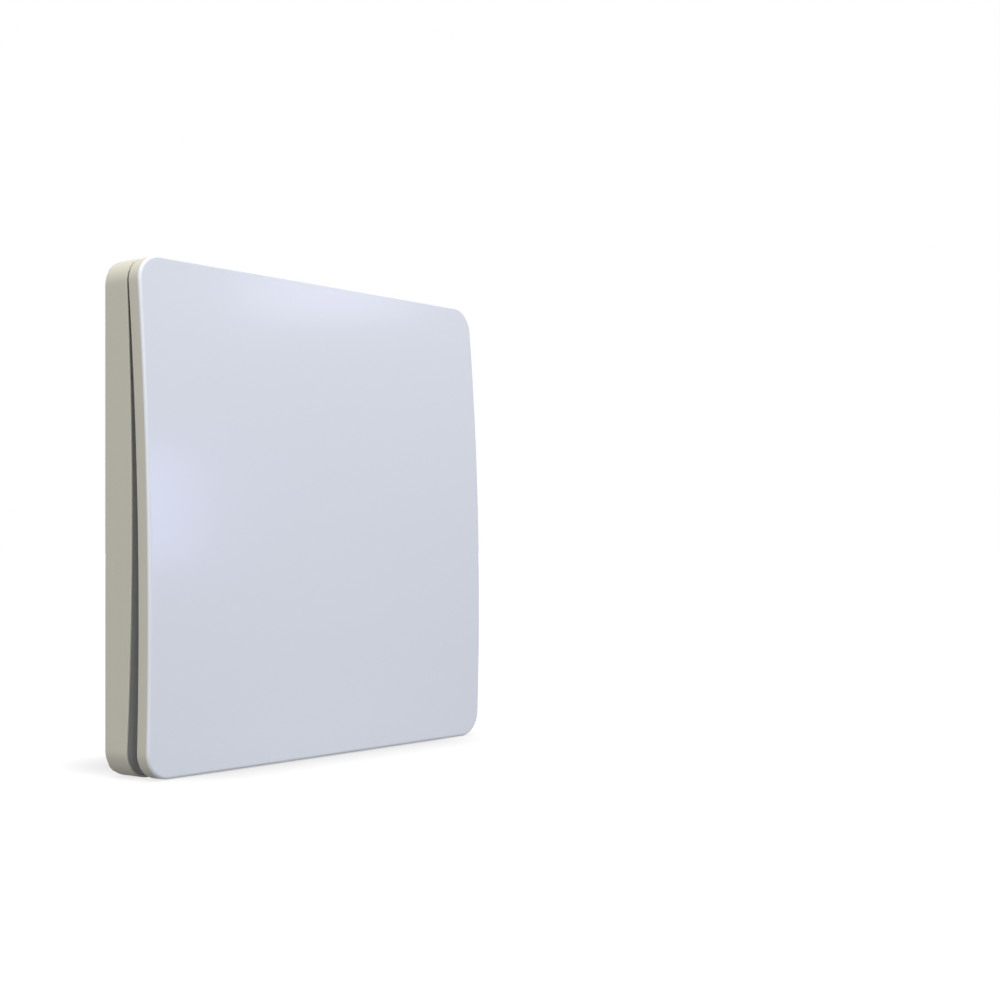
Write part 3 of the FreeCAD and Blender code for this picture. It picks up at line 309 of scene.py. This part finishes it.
def cutWith(piece, tool, operation):
    modifier = piece.modifiers.new("cut", "BOOLEAN")
    modifier.operation = operation
    modifier.solver = "EXACT"
    modifier.object = tool
    settle(piece)
    bpy.data.objects.remove(tool)
    with editing(piece) as mesh:
        bmesh.ops.remove_doubles(mesh, verts=mesh.verts, dist=weld)
        bmesh.ops.dissolve_degenerate(mesh, edges=mesh.edges, dist=weld)
        stray = [edge for edge in mesh.edges if edge.is_wire]
        bmesh.ops.delete(mesh, geom=stray, context="EDGES")
    return piece


def tally(piece):
    count = bmesh.new()
    count.from_mesh(piece.data)
    openEdges = sum(not edge.is_manifold for edge in count.edges)
    volume = round(count.calc_volume(signed=True) / mm ** 3)
    print("  ", piece.name, len(count.faces), "faces", openEdges, "open edges", volume, "mm3")
    count.free()


def copyOf(nodeName, name):
    # the CAD mesh is loose triangles: they are welded
    piece = bpy.data.objects.new(name, nodes[nodeName].data.copy())
    bpy.context.scene.collection.objects.link(piece)
    with editing(piece) as mesh:
        bmesh.ops.remove_doubles(mesh, verts=mesh.verts, dist=weld)
    return piece


def insideOf(nodeName, half, tilted=False):
    # the hidden inner part of a CAD node, trimmed so that its outer wall can be a smooth one;
    # the two overlap a little, so that no wall lies on another
    piece = copyOf(nodeName, nodeName + "Inside")
    reach = (half + outline["overlap"]) * mm
    deep = outline["trimDepth"] * mm
    tool = boxMesh("trim", (-reach, -deep, -reach), (reach, deep, reach))
    if tilted:
        tool.data.transform(tiltAtRest)
    return cutWith(piece, tool, "INTERSECT")


shading = {
    "sharpFrom": 40,      # an edge that turns by more degrees stays sharp
    "bevelFrom": 8,       # beside a large flat face an edge is sharp from here on
    "largeTimes": 30,     # how many times its neighbour's area such a face has
}


def sharpen(piece):
    # smooth shading with edges kept where two faces meet at a large angle, and round a large
    # flat face, which would take on the lean of the narrow ones beside it
    with editing(piece) as mesh:
        for face in mesh.faces:
            face.smooth = True
        for edge in mesh.edges:
            if len(edge.link_faces) == 2:
                turn = math.degrees(edge.calc_face_angle(0))
                small, large = sorted(face.calc_area() for face in edge.link_faces)
                even = turn < shading["bevelFrom"] or large < small * shading["largeTimes"]
                edge.smooth = turn < shading["sharpFrom"] and even


# finishes

def newFinish(name):
    material = bpy.data.materials.new(name)
    material.use_nodes = True
    material.node_tree.nodes.clear()
    net = Wire(material.node_tree)
    place = net.node("ShaderNodeTexCoord", out="Object")
    return material, net, place


def shown(material, net, inputs):
    net.node("ShaderNodeBsdfPrincipled", {}, inputs).into("ShaderNodeOutputMaterial", "Surface")
    return material


def noiseAt(net, place, scale, detail, roughness=0.5):
    return net.node("ShaderNodeTexNoise", {},
                    {"Vector": place, "Scale": scale, "Detail": detail, "Roughness": roughness})


def stretched(net, place, scale):
    return net.node("ShaderNodeMapping", {}, {"Vector": place, "Scale": scale})


def bumped(net, height, depth):
    return net.node("ShaderNodeBump", {}, {"Height": height, "Distance": depth * mm})


def toned(colour, times):
    return [channel * times for channel in colour]


moulding = {"speckFrom": 0.62, "speckTone": 0.8, "grainRoughness": 0.18, "cloudRoughness": 0.08}


def mouldedPlastic(name, look):
    # matt moulding: fine eroded grain, faint flow clouds in colour and in roughness
    material, net, place = newFinish(name)
    clouds = noiseAt(net, place, look["cloudScale"], 3)
    grain = noiseAt(net, place, look["grainScale"], 2, 0.6)
    shade = net.mix(clouds, toned(look["colour"], 1 - look["cloud"]),
                    toned(look["colour"], 1 + look["cloud"]))
    speck = net.mix((grain > moulding["speckFrom"]) * look["speck"], shade,
                    toned(look["colour"], moulding["speckTone"]))
    return shown(material, net, {
        "Base Color": speck,
        "Roughness": (look["roughness"] + (grain - 0.5) * moulding["grainRoughness"]
                      + (clouds - 0.5) * moulding["cloudRoughness"]),
        "Normal": bumped(net, grain, look["grainDepth"]),
        "Specular IOR Level": look["gloss"],
    })


warmPlastic = mouldedPlastic("warmPlastic", {
    "colour": (0.525, 0.507, 0.43), "cloud": 0.012, "cloudScale": 45, "grainScale": 5200,
    "grainDepth": 0.006, "speck": 0.08, "roughness": 0.5, "gloss": 0.35})
slatePlastic = mouldedPlastic("slatePlastic", {
    "colour": (0.4, 0.41, 0.425), "cloud": 0.03, "cloudScale": 60, "grainScale": 4200,
    "grainDepth": 0.008, "speck": 0.1, "roughness": 0.55, "gloss": 0.35})
darkPlastic = mouldedPlastic("darkPlastic", {
    "colour": (0.035, 0.035, 0.038), "cloud": 0.05, "cloudScale": 50, "grainScale": 3600,
    "grainDepth": 0.012, "speck": 0.15, "roughness": 0.6, "gloss": 0.4})
naturalPlastic = mouldedPlastic("naturalPlastic", {
    "colour": (0.70, 0.68, 0.60), "cloud": 0.03, "cloudScale": 120, "grainScale": 6000,
    "grainDepth": 0.004, "speck": 0.03, "roughness": 0.42, "gloss": 0.45})
silicone = mouldedPlastic("silicone", {
    "colour": (0.17, 0.175, 0.18), "cloud": 0.03, "cloudScale": 200, "grainScale": 5000,
    "grainDepth": 0.003, "speck": 0.05, "roughness": 0.68, "gloss": 0.3})
chipBlack = mouldedPlastic("chipBlack", {
    "colour": (0.022, 0.022, 0.024), "cloud": 0.05, "cloudScale": 300, "grainScale": 9000,
    "grainDepth": 0.006, "speck": 0.2, "roughness": 0.58, "gloss": 0.4})
capacitorBody = mouldedPlastic("capacitorBody", {
    "colour": (0.62, 0.36, 0.07), "cloud": 0.04, "cloudScale": 300, "grainScale": 8000,
    "grainDepth": 0.003, "speck": 0.05, "roughness": 0.4, "gloss": 0.5})


def makeWhiteGloss(look):
    # polished front: a hint of waviness from the mould, hair-fine rub marks, a clear coat
    material, net, place = newFinish("whiteGloss")
    clouds = noiseAt(net, place, look["cloudScale"], 2)
    waves = noiseAt(net, place, look["waveScale"], 1)
    rubs = noiseAt(net, stretched(net, place, look["rubStretch"]), look["rubScale"], 3, 0.7)
    shade = net.mix(clouds, toned(look["colour"], 1 - look["cloud"]),
                    toned(look["colour"], 1 + look["cloud"]))
    return shown(material, net, {
        "Base Color": shade,
        "Roughness": look["roughness"] + (rubs - 0.5) * look["rubRoughness"],
        "Normal": bumped(net, waves, look["waveDepth"]),
        "Coat Weight": look["coat"],
        "Coat Roughness": look["coatRoughness"],
        "Specular IOR Level": 0.5,
    })


whiteGloss = makeWhiteGloss({
    "colour": (0.655, 0.69, 0.757), "roughness": 0.42, "coat": 0.4, "coatRoughness": 0.15,
    "cloud": 0.006, "cloudScale": 22, "waveScale": 160, "waveDepth": 0.004,
    "rubStretch": (900, 900, 60), "rubScale": 9, "rubRoughness": 0.06})


drawn = {"spotScale": 700, "spotTone": 0.9, "lineRoughness": 0.2, "spotRoughness": 0.1}


def workedMetal(name, look):
    # plate, strip or pin: fine draw lines along one direction and a few dull spots
    material, net, place = newFinish(name)
    lines = noiseAt(net, stretched(net, place, look["lines"]), 1, 3, 0.6)
    spots = noiseAt(net, place, drawn["spotScale"], 3)
    return shown(material, net, {
        "Base Color": net.mix(spots, toned(look["colour"], drawn["spotTone"]), look["colour"]),
        "Metallic": 1.0,
        "Roughness": (look["roughness"] + (lines - 0.5) * drawn["lineRoughness"]
                      + (spots - 0.5) * drawn["spotRoughness"]),
        "Normal": bumped(net, lines, look["depth"]),
    })


platedMetal = workedMetal("platedMetal", {
    "colour": (0.72, 0.72, 0.74), "lines": (400, 6000, 6000), "roughness": 0.28, "depth": 0.002})
springSteel = workedMetal("springSteel", {
    "colour": (0.52, 0.54, 0.57), "lines": (6000, 6000, 300), "roughness": 0.24, "depth": 0.002})
softIron = workedMetal("softIron", {
    "colour": (0.33, 0.33, 0.34), "lines": (3000, 3000, 400), "roughness": 0.5, "depth": 0.006})
magnetCoating = workedMetal("magnetCoating", {
    "colour": (0.78, 0.76, 0.72), "lines": (900, 900, 900), "roughness": 0.16, "depth": 0.001})


def makeCopperWinding(look):
    # enamelled wire laid turn beside turn, darker between the turns as painted shade
    material, net, place = newFinish("copperWinding")
    turns = net.node("ShaderNodeTexWave", {"wave_type": "BANDS", "bands_direction": "Z"},
                     {"Vector": place, "Scale": look["turnScale"],
                      "Distortion": look["uneven"], "Detail": 1.0})
    spots = noiseAt(net, place, look["spotScale"], 2)
    # painted shade: the colour darkens to the between tone in the grooves between the turns
    shade = net.mix(turns, look["between"], look["wire"])
    return shown(material, net, {
        "Base Color": net.mix(spots * look["spot"], shade, look["enamel"]),
        "Metallic": look["metal"],
        "Roughness": look["roughness"] + spots * look["spotRoughness"],
        "Normal": bumped(net, turns, look["depth"]),
    })


def makeBoardLaminate(look):
    # solder mask over copper tracks, with the weave of the glass cloth faintly under it
    material, net, place = newFinish("boardLaminate")
    weave = net.node("ShaderNodeTexChecker", {}, {"Vector": place, "Scale": look["weaveScale"]})
    facing = net.node("ShaderNodeMapping", {}, {"Vector": place, "Rotation": (math.pi / 2, 0, 0)})
    tracks = net.node("ShaderNodeTexBrick", {"offset": 0.5, "squash": 1.0},
                      {"Vector": facing, "Scale": look["trackScale"],
                       "Mortar Size": look["trackWidth"], "Color1": (0, 0, 0, 1),
                       "Color2": (0, 0, 0, 1), "Mortar": (1, 1, 1, 1)})
    return shown(material, net, {
        "Base Color": net.mix(tracks * look["trackShare"], look["mask"], look["track"]),
        "Roughness": look["roughness"] + weave * look["weaveRoughness"],
        "Normal": bumped(net, tracks, look["depth"]),
        "Coat Weight": look["coat"],
    })


def makeFoamTape(look):
    # closed foam cells under the film of glue
    material, net, place = newFinish("foamTape")
    cells = net.node("ShaderNodeTexVoronoi", {}, {"Vector": place, "Scale": look["cellScale"]})
    clouds = noiseAt(net, place, look["cloudScale"], 3)
    shade = net.mix(clouds, look["dark"], look["pale"])
    return shown(material, net, {
        "Base Color": net.mix(cells * look["cellShare"], shade, look["cell"]),
        "Roughness": look["roughness"] + clouds * look["cloudRoughness"],
        "Normal": bumped(net, cells, look["depth"]),
    })


foamTape = makeFoamTape({
    "dark": (0.22, 0.22, 0.225), "pale": (0.31, 0.31, 0.315), "cell": (0.16, 0.16, 0.165),
    "cellScale": 2600.0, "cellShare": 0.6, "cloudScale": 160, "cloudRoughness": 0.2,
    "roughness": 0.55, "depth": 0.05})
# between is the painted shade in the grooves between the turns
copperWinding = makeCopperWinding({
    "wire": (0.66, 0.27, 0.10), "between": (0.22, 0.07, 0.02), "enamel": (0.42, 0.13, 0.04),
    "turnScale": 1900.0, "uneven": 0.4, "spotScale": 500, "spot": 0.25, "spotRoughness": 0.12,
    "metal": 0.85, "roughness": 0.3, "depth": 0.05})
boardLaminate = makeBoardLaminate({
    "mask": (0.012, 0.105, 0.035), "track": (0.03, 0.22, 0.07), "trackScale": 160.0,
    "trackWidth": 0.05, "trackShare": 0.8, "weaveScale": 2500.0, "weaveRoughness": 0.04,
    "roughness": 0.32, "coat": 0.3, "depth": 0.03})

finishes = {
    "warm_plastic": warmPlastic, "white_gloss": whiteGloss, "slate_plastic": slatePlastic,
    "dark_plastic": darkPlastic, "natural_plastic": naturalPlastic, "foam_tape": foamTape,
    "silicone": silicone, "plated_metal": platedMetal, "spring_steel": springSteel,
    "soft_iron": softIron, "magnet_coating": magnetCoating,
    "copper_winding": copperWinding, "board_laminate": boardLaminate,
    "chip_black": chipBlack, "capacitor_body": capacitorBody,
}
for part in frame["record"]["subparts"]:
    mesh = nodes[part["node"]].data
    mesh.materials.clear()
    mesh.materials.append(finishes[part["material_slot"]])
print("finishes made:", len(finishes))


# base shell: outer wall with a rounded rear edge and a thin lip; "skin" is how deep the smooth
# outer wall goes before the inner part takes over
base = {
    "skin": 0.9, "lip": 0.35, "rearRound": 0.3, "lipRound": 0.09,
    "pryWidth": 8.0, "pryDepth": 1.0, "pryTop": 41.1,   # notch at the lower edge
    "toolRear": 10.0, "toolBottom": 50.0,               # the cutting box goes past the shell
}
baseWall = sweepRound("baseShell", roundedSection([
    (0, 0, 0, base["rearRound"]),
    (0, depths["baseRim"], 1, base["lipRound"]),
    (base["lip"], depths["baseRim"], 1, base["lipRound"]),
    (base["lip"], depths["ledgeRear"], 1, 0),
    (base["skin"], depths["ledgeRear"], 1, 0),
    (base["skin"], 0, 0, 0)]), warmPlastic)
baseShell = cutWith(baseWall, insideOf("base_shell", outline["half"] - base["skin"]), "UNION")
pryLow = (-base["pryWidth"] / 2 * mm, -base["pryDepth"] * mm, -base["toolBottom"] * mm)
pryHigh = (base["pryWidth"] / 2 * mm, base["toolRear"] * mm, -base["pryTop"] * mm)
cutWith(baseShell, boxMesh("pry", pryLow, pryHigh), "DIFFERENCE")

# dark frame: the ledge behind the lip and the raised platform
ledge = {"inset": 0.4, "stepInset": 3.2, "edgeRound": 0.12, "stepRound": 0.2, "skin": 3.75}
frameRing = sweepRound("midFrame", roundedSection([
    (ledge["inset"], depths["ledgeRear"], 1, 0),
    (ledge["inset"], depths["ledge"], 1, ledge["edgeRound"]),
    (ledge["stepInset"], depths["ledge"], 1, 0),
    (ledge["stepInset"], depths["step"], 1, ledge["stepRound"]),
    (ledge["skin"], depths["step"], 1, 0),
    (ledge["skin"], depths["ledgeRear"], 1, 0)]), slatePlastic)
midFrame = cutWith(frameRing, insideOf("mid_frame", outline["half"] - ledge["skin"]), "UNION")

# rocker: side wall in warm plastic, ribs and hook inside it
rocker = {"skin": 0.75, "rearRound": 0.1}
rockerWall = sweepRound("rockerCarrier", roundedSection([
    (0, depths["rockerRim"], 1, rocker["rearRound"]),
    (0, depths["rockerFront"], 1, 0),
    (rocker["skin"], depths["rockerFront"], 1, 0),
    (rocker["skin"], depths["rockerRim"], 1, 0)]), warmPlastic)
rockerWall.data.transform(tiltAtRest)
rockerInside = insideOf("rocker_carrier", outline["half"] - rocker["skin"], tilted=True)
rockerCarrier = cutWith(rockerWall, rockerInside, "UNION")

# rocker face: glossy plate with a rounded front edge
face = {"capInset": 4.1, "edgeRound": 0.42, "rings": 24}
rockerFace = sweepRound("rockerFace", roundedSection([
    (face["capInset"], depths["rockerFront"], 1, 0),
    (0, depths["rockerFront"], 1, 0),
    (0, depths["faceFront"], 1, face["edgeRound"]),
    (face["capInset"], depths["faceFront"], 1, 0)], closed=False), whiteGloss, closed=False)
crownCaps(rockerFace, face["rings"])
rockerFace.data.transform(tiltAtRest)


soft = {"facets": 2, "flatWithin": 0.2, "edgeFrom": 35}   # the angles in degrees


def softened(nodeName, name, width):
    # the same solid with its sharp edges rounded as a mould or a press would leave them
    piece = copyOf(nodeName, name)
    with editing(piece) as mesh:
        bmesh.ops.dissolve_limit(mesh, angle_limit=math.radians(soft["flatWithin"]),
                                 verts=mesh.verts, edges=mesh.edges)
    modifier = piece.modifiers.new("round", "BEVEL")
    modifier.width = width * mm
    modifier.segments = soft["facets"]
    modifier.limit_method = "ANGLE"
    modifier.angle_limit = math.radians(soft["edgeFrom"])
    modifier.use_clamp_overlap = True
    return settle(piece)


# coil: turns of wire side by side, wound round the bobbin
winding = {
    "halfWidth": 5.8, "halfDepth": 1.9, "corner": 0.8, "cornerSteps": 8,
    "bottom": -4.7, "top": 8.7, "depth": 5.2, "wall": 0.7, "turns": 55, "arcSteps": 5,
}


def coilSection():
    wire = (winding["top"] - winding["bottom"]) / winding["turns"] / 2
    points = []
    for turn in range(winding["turns"]):
        middle = winding["bottom"] + wire * (2 * turn + 1)
        for step in range(winding["arcSteps"]):
            angle = math.pi * step / winding["arcSteps"]
            points.append((wire * (1 - math.sin(angle)), middle - wire * math.cos(angle), 0))
    points.append((wire, winding["top"], 0))
    points.append((winding["wall"], winding["top"], 0))
    points.append((winding["wall"], winding["bottom"], 0))
    return points[::-1]


coil = sweepRound("coilTurns", coilSection(), finishes["copper_winding"], path={
    "Half Width": winding["halfWidth"] * mm, "Half Height": winding["halfDepth"] * mm,
    "Corner Radius": winding["corner"] * mm, "Corner Steps": winding["cornerSteps"],
    "Side Steps": 0,
    "Turn": (0.0, 0.0, 0.0), "Place": (0.0, -winding["depth"] * mm, 0.0)})


# screws: a cross recess in each head
def recessed(piece, heads):
    reach, slot, depth = heads["reach"] / 2, heads["slot"] / 2, heads["depth"]
    for middle in ((x, heads["front"], z) for x in heads["across"] for z in heads["up"]):
        for half in ((reach, depth, slot), (slot, depth, reach)):
            low = [(a - b) * mm for a, b in zip(middle, half)]
            high = [(a + b) * mm for a, b in zip(middle, half)]
            cutWith(piece, boxMesh("recess", low, high), "DIFFERENCE")
    return piece


frameScrews = recessed(softened("frame_screws", "frameScrews", 0.12), {
    "across": (-24, 24), "up": (-30, 30), "front": -1.5, "reach": 2.0, "slot": 0.5, "depth": 0.55})
generatorScrews = recessed(softened("generator_screws", "generatorScrews", 0.1), {
    "across": (-8, 8), "up": (11,), "front": -6.8, "reach": 1.5, "slot": 0.4, "depth": 0.4})

made = {"base_shell": baseShell, "mid_frame": midFrame, "rocker_carrier": rockerCarrier,
        "rocker_face": rockerFace, "coil": coil, "frame_screws": frameScrews,
        "generator_screws": generatorScrews}
# how far the edges of the other nodes are rounded, in mm
rounds = {
    "wall_plate": 0.12, "adhesive_pads": 0.08, "bumper_pads": 0.2, "bobbin": 0.08,
    "generator_tray": 0.08, "iron_core": 0.06, "core_clip": 0.05, "magnet": 0.12,
    "front_pole_plate": 0.06, "rear_pole_plate": 0.06, "magnet_carrier": 0.07,
    "circuit_board": 0.04, "radio_chip": 0.08, "rectifier": 0.1, "crystal": 0.18,
    "power_inductor": 0.2, "storage_capacitors": 0.12, "antenna": 0.08, "drive_spring": 0.03,
}
for nodeName, width in rounds.items():
    first, *rest = nodeName.split("_")
    name = first + "".join(word.title() for word in rest) + "Shape"
    made[nodeName] = softened(nodeName, name, width)
print("pieces made:", len(made))

slotOf = {part["node"]: part["material_slot"] for part in frame["record"]["subparts"]}
bodyOf = {node: body for body, members in frame["record"]["behaviour"]["bodies"].items()
          for node in members}
for nodeName, piece in made.items():
    piece.data.materials.clear()
    piece.data.materials.append(finishes[slotOf[nodeName]])
    for polygon in piece.data.polygons:
        polygon.material_index = 0
    sharpen(piece)
    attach(piece, bodyOf[nodeName])
    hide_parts(nodeName)
    tally(piece)


# stage: pale floor under the switch, soft light, the photograph's camera

def seenDirectly(net):
    # one for what the camera sees, also in a mirror or through glass, and zero for lit surfaces
    rays = [net.node("ShaderNodeLightPath", out="Is " + kind + " Ray")
            for kind in ("Camera", "Glossy", "Transmission")]
    return net.math("MINIMUM", rays[0] + rays[1] + rays[2], 1.0)


def makeFloor(look):
    # white by its own glow far away, by the light that falls on it near the switch, and a little
    # darker close to the switch's foot, where its glow is dimmed as a painted shadow
    material, net, place = newFinish("paleFloor")
    apart = net.node("ShaderNodeVectorMath", {"operation": "LENGTH"}, {0: place}, out="Value")
    away = net.math("MINIMUM", apart * (1 / look["nearby"]), 1.0)
    side = net.node("ShaderNodeVectorMath", {"operation": "ABSOLUTE"}, {0: place})
    beyond = net.node("ShaderNodeVectorMath", {"operation": "SUBTRACT"}, {0: side, 1: look["foot"]})
    outside = net.node("ShaderNodeVectorMath", {"operation": "MAXIMUM"}, {0: beyond, 1: (0, 0, 0)})
    across = net.node("ShaderNodeVectorMath", {"operation": "LENGTH"}, {0: outside}, out="Value")
    clearOf = net.math("MINIMUM", across * (1 / look["footReach"]), 1.0)
    shade = look["glowNear"] + away * (look["glowAway"] - look["glowNear"]) + apart * look["haze"]
    # painted shadow: the floor's glow is dimmed close to the switch's foot
    shade = shade + clearOf * look["paintedFootShadow"] - look["paintedFootShadow"]
    albedo = look["mattNear"] + away * (look["mattAway"] - look["mattNear"])
    tone = net.node("ShaderNodeCombineColor", {}, {0: albedo, 1: albedo, 2: albedo})
    matt = net.node("ShaderNodeBsdfDiffuse", {}, {"Color": tone})
    glow = net.node("ShaderNodeEmission", {}, {"Color": (1, 1, 1, 1),
                                               "Strength": seenDirectly(net) * shade})
    net.node("ShaderNodeAddShader", {}, {0: matt, 1: glow}).into(
        "ShaderNodeOutputMaterial", "Surface")
    top = -outline["half"] * mm
    floor = boxMesh("floor", (-look["reach"], -look["reach"], top - look["thickness"]),
                    (look["reach"], look["reach"], top))
    floor.data.materials.append(material)


def makeWorld(look):
    world = bpy.data.worlds.new("studio")
    bpy.context.scene.world = world
    world.use_nodes = True
    world.node_tree.nodes.clear()
    net = Wire(world.node_tree)
    room = net.node("ShaderNodeBackground", {}, {"Color": (*look["tint"], 1),
                                                 "Strength": look["level"]})
    white = net.node("ShaderNodeBackground", {}, {"Color": (1, 1, 1, 1), "Strength": 1.0})
    net.node("ShaderNodeMixShader", {}, {0: seenDirectly(net), 1: room, 2: white}).into(
        "ShaderNodeOutputWorld", "Surface")


def softBox(name, look):
    lamp = bpy.data.lights.new(name, "AREA")
    lamp.shape = "RECTANGLE"
    lamp.size, lamp.size_y = look["size"]
    lamp.energy = look["glow"] * math.pi * look["size"][0] * look["size"][1]
    lamp.color = look["tint"]
    holder = bpy.data.objects.new(name, lamp)
    bpy.context.scene.collection.objects.link(holder)
    holder.location = look["place"]
    holder.rotation_euler = (-Vector(look["place"])).to_track_quat("-Z", "Y").to_euler()


# the foot entries paint a soft shadow on the floor close to the switch's foot
makeFloor({"mattNear": 0.4, "mattAway": 0.1, "glowNear": 0.53, "glowAway": 0.92, "nearby": 0.075,
           "haze": 0.1, "foot": (0.027, 0.006, 10), "footReach": 0.018, "paintedFootShadow": 0.31,
           "reach": 4.0, "thickness": 0.01})
makeWorld({"tint": (0.97, 0.98, 1.0), "level": 0.6})
# "glow" is how bright a box looks: one above, one at the left, one in front, and two small blue
# ones whose mirror images make the photograph's highlights on the face
softBox("topBox", {"place": (-0.1, -0.1, 1.1), "size": (1.0, 0.8), "glow": 4.0,
                   "tint": (1.0, 0.99, 0.97)})
softBox("leftBox", {"place": (-1.15, -0.42, 0.25), "size": (0.8, 0.8), "glow": 2.4,
                    "tint": (1.0, 0.995, 0.98)})
softBox("keyBox", {"place": (-0.35, -1.3, 0.7), "size": (0.9, 0.7), "glow": 4.2,
                   "tint": (1.0, 0.99, 0.97)})
softBox("leftGlint", {"place": (0.535, -0.70, 0.06), "size": (0.06, 0.12), "glow": 14.0,
                      "tint": (0.45, 0.45, 1.0)})
softBox("topGlint", {"place": (0.65, -0.59, 0.29), "size": (0.12, 0.06), "glow": 8.0,
                     "tint": (0.8, 0.7, 1.0)})

# a level camera, fitted to the edges in the photograph
view = {"place": (-0.221626, -0.219814, -0.003797), "turn": -52.458, "focalLength": 59.95,
        "sensor": 36, "rise": 0.0407, "nearest": 0.01}
lens = bpy.data.cameras.new("photoCamera")
lens.lens = view["focalLength"]
lens.sensor_width = view["sensor"]
lens.shift_y = view["rise"]
lens.clip_start = view["nearest"]
camera = bpy.data.objects.new("photoCamera", lens)
bpy.context.scene.collection.objects.link(camera)
camera.location = view["place"]
camera.rotation_euler = (math.pi / 2, 0, math.radians(view["turn"]))
bpy.context.scene.camera = camera
bpy.context.scene.view_settings.view_transform = "Standard"
print("stage made")
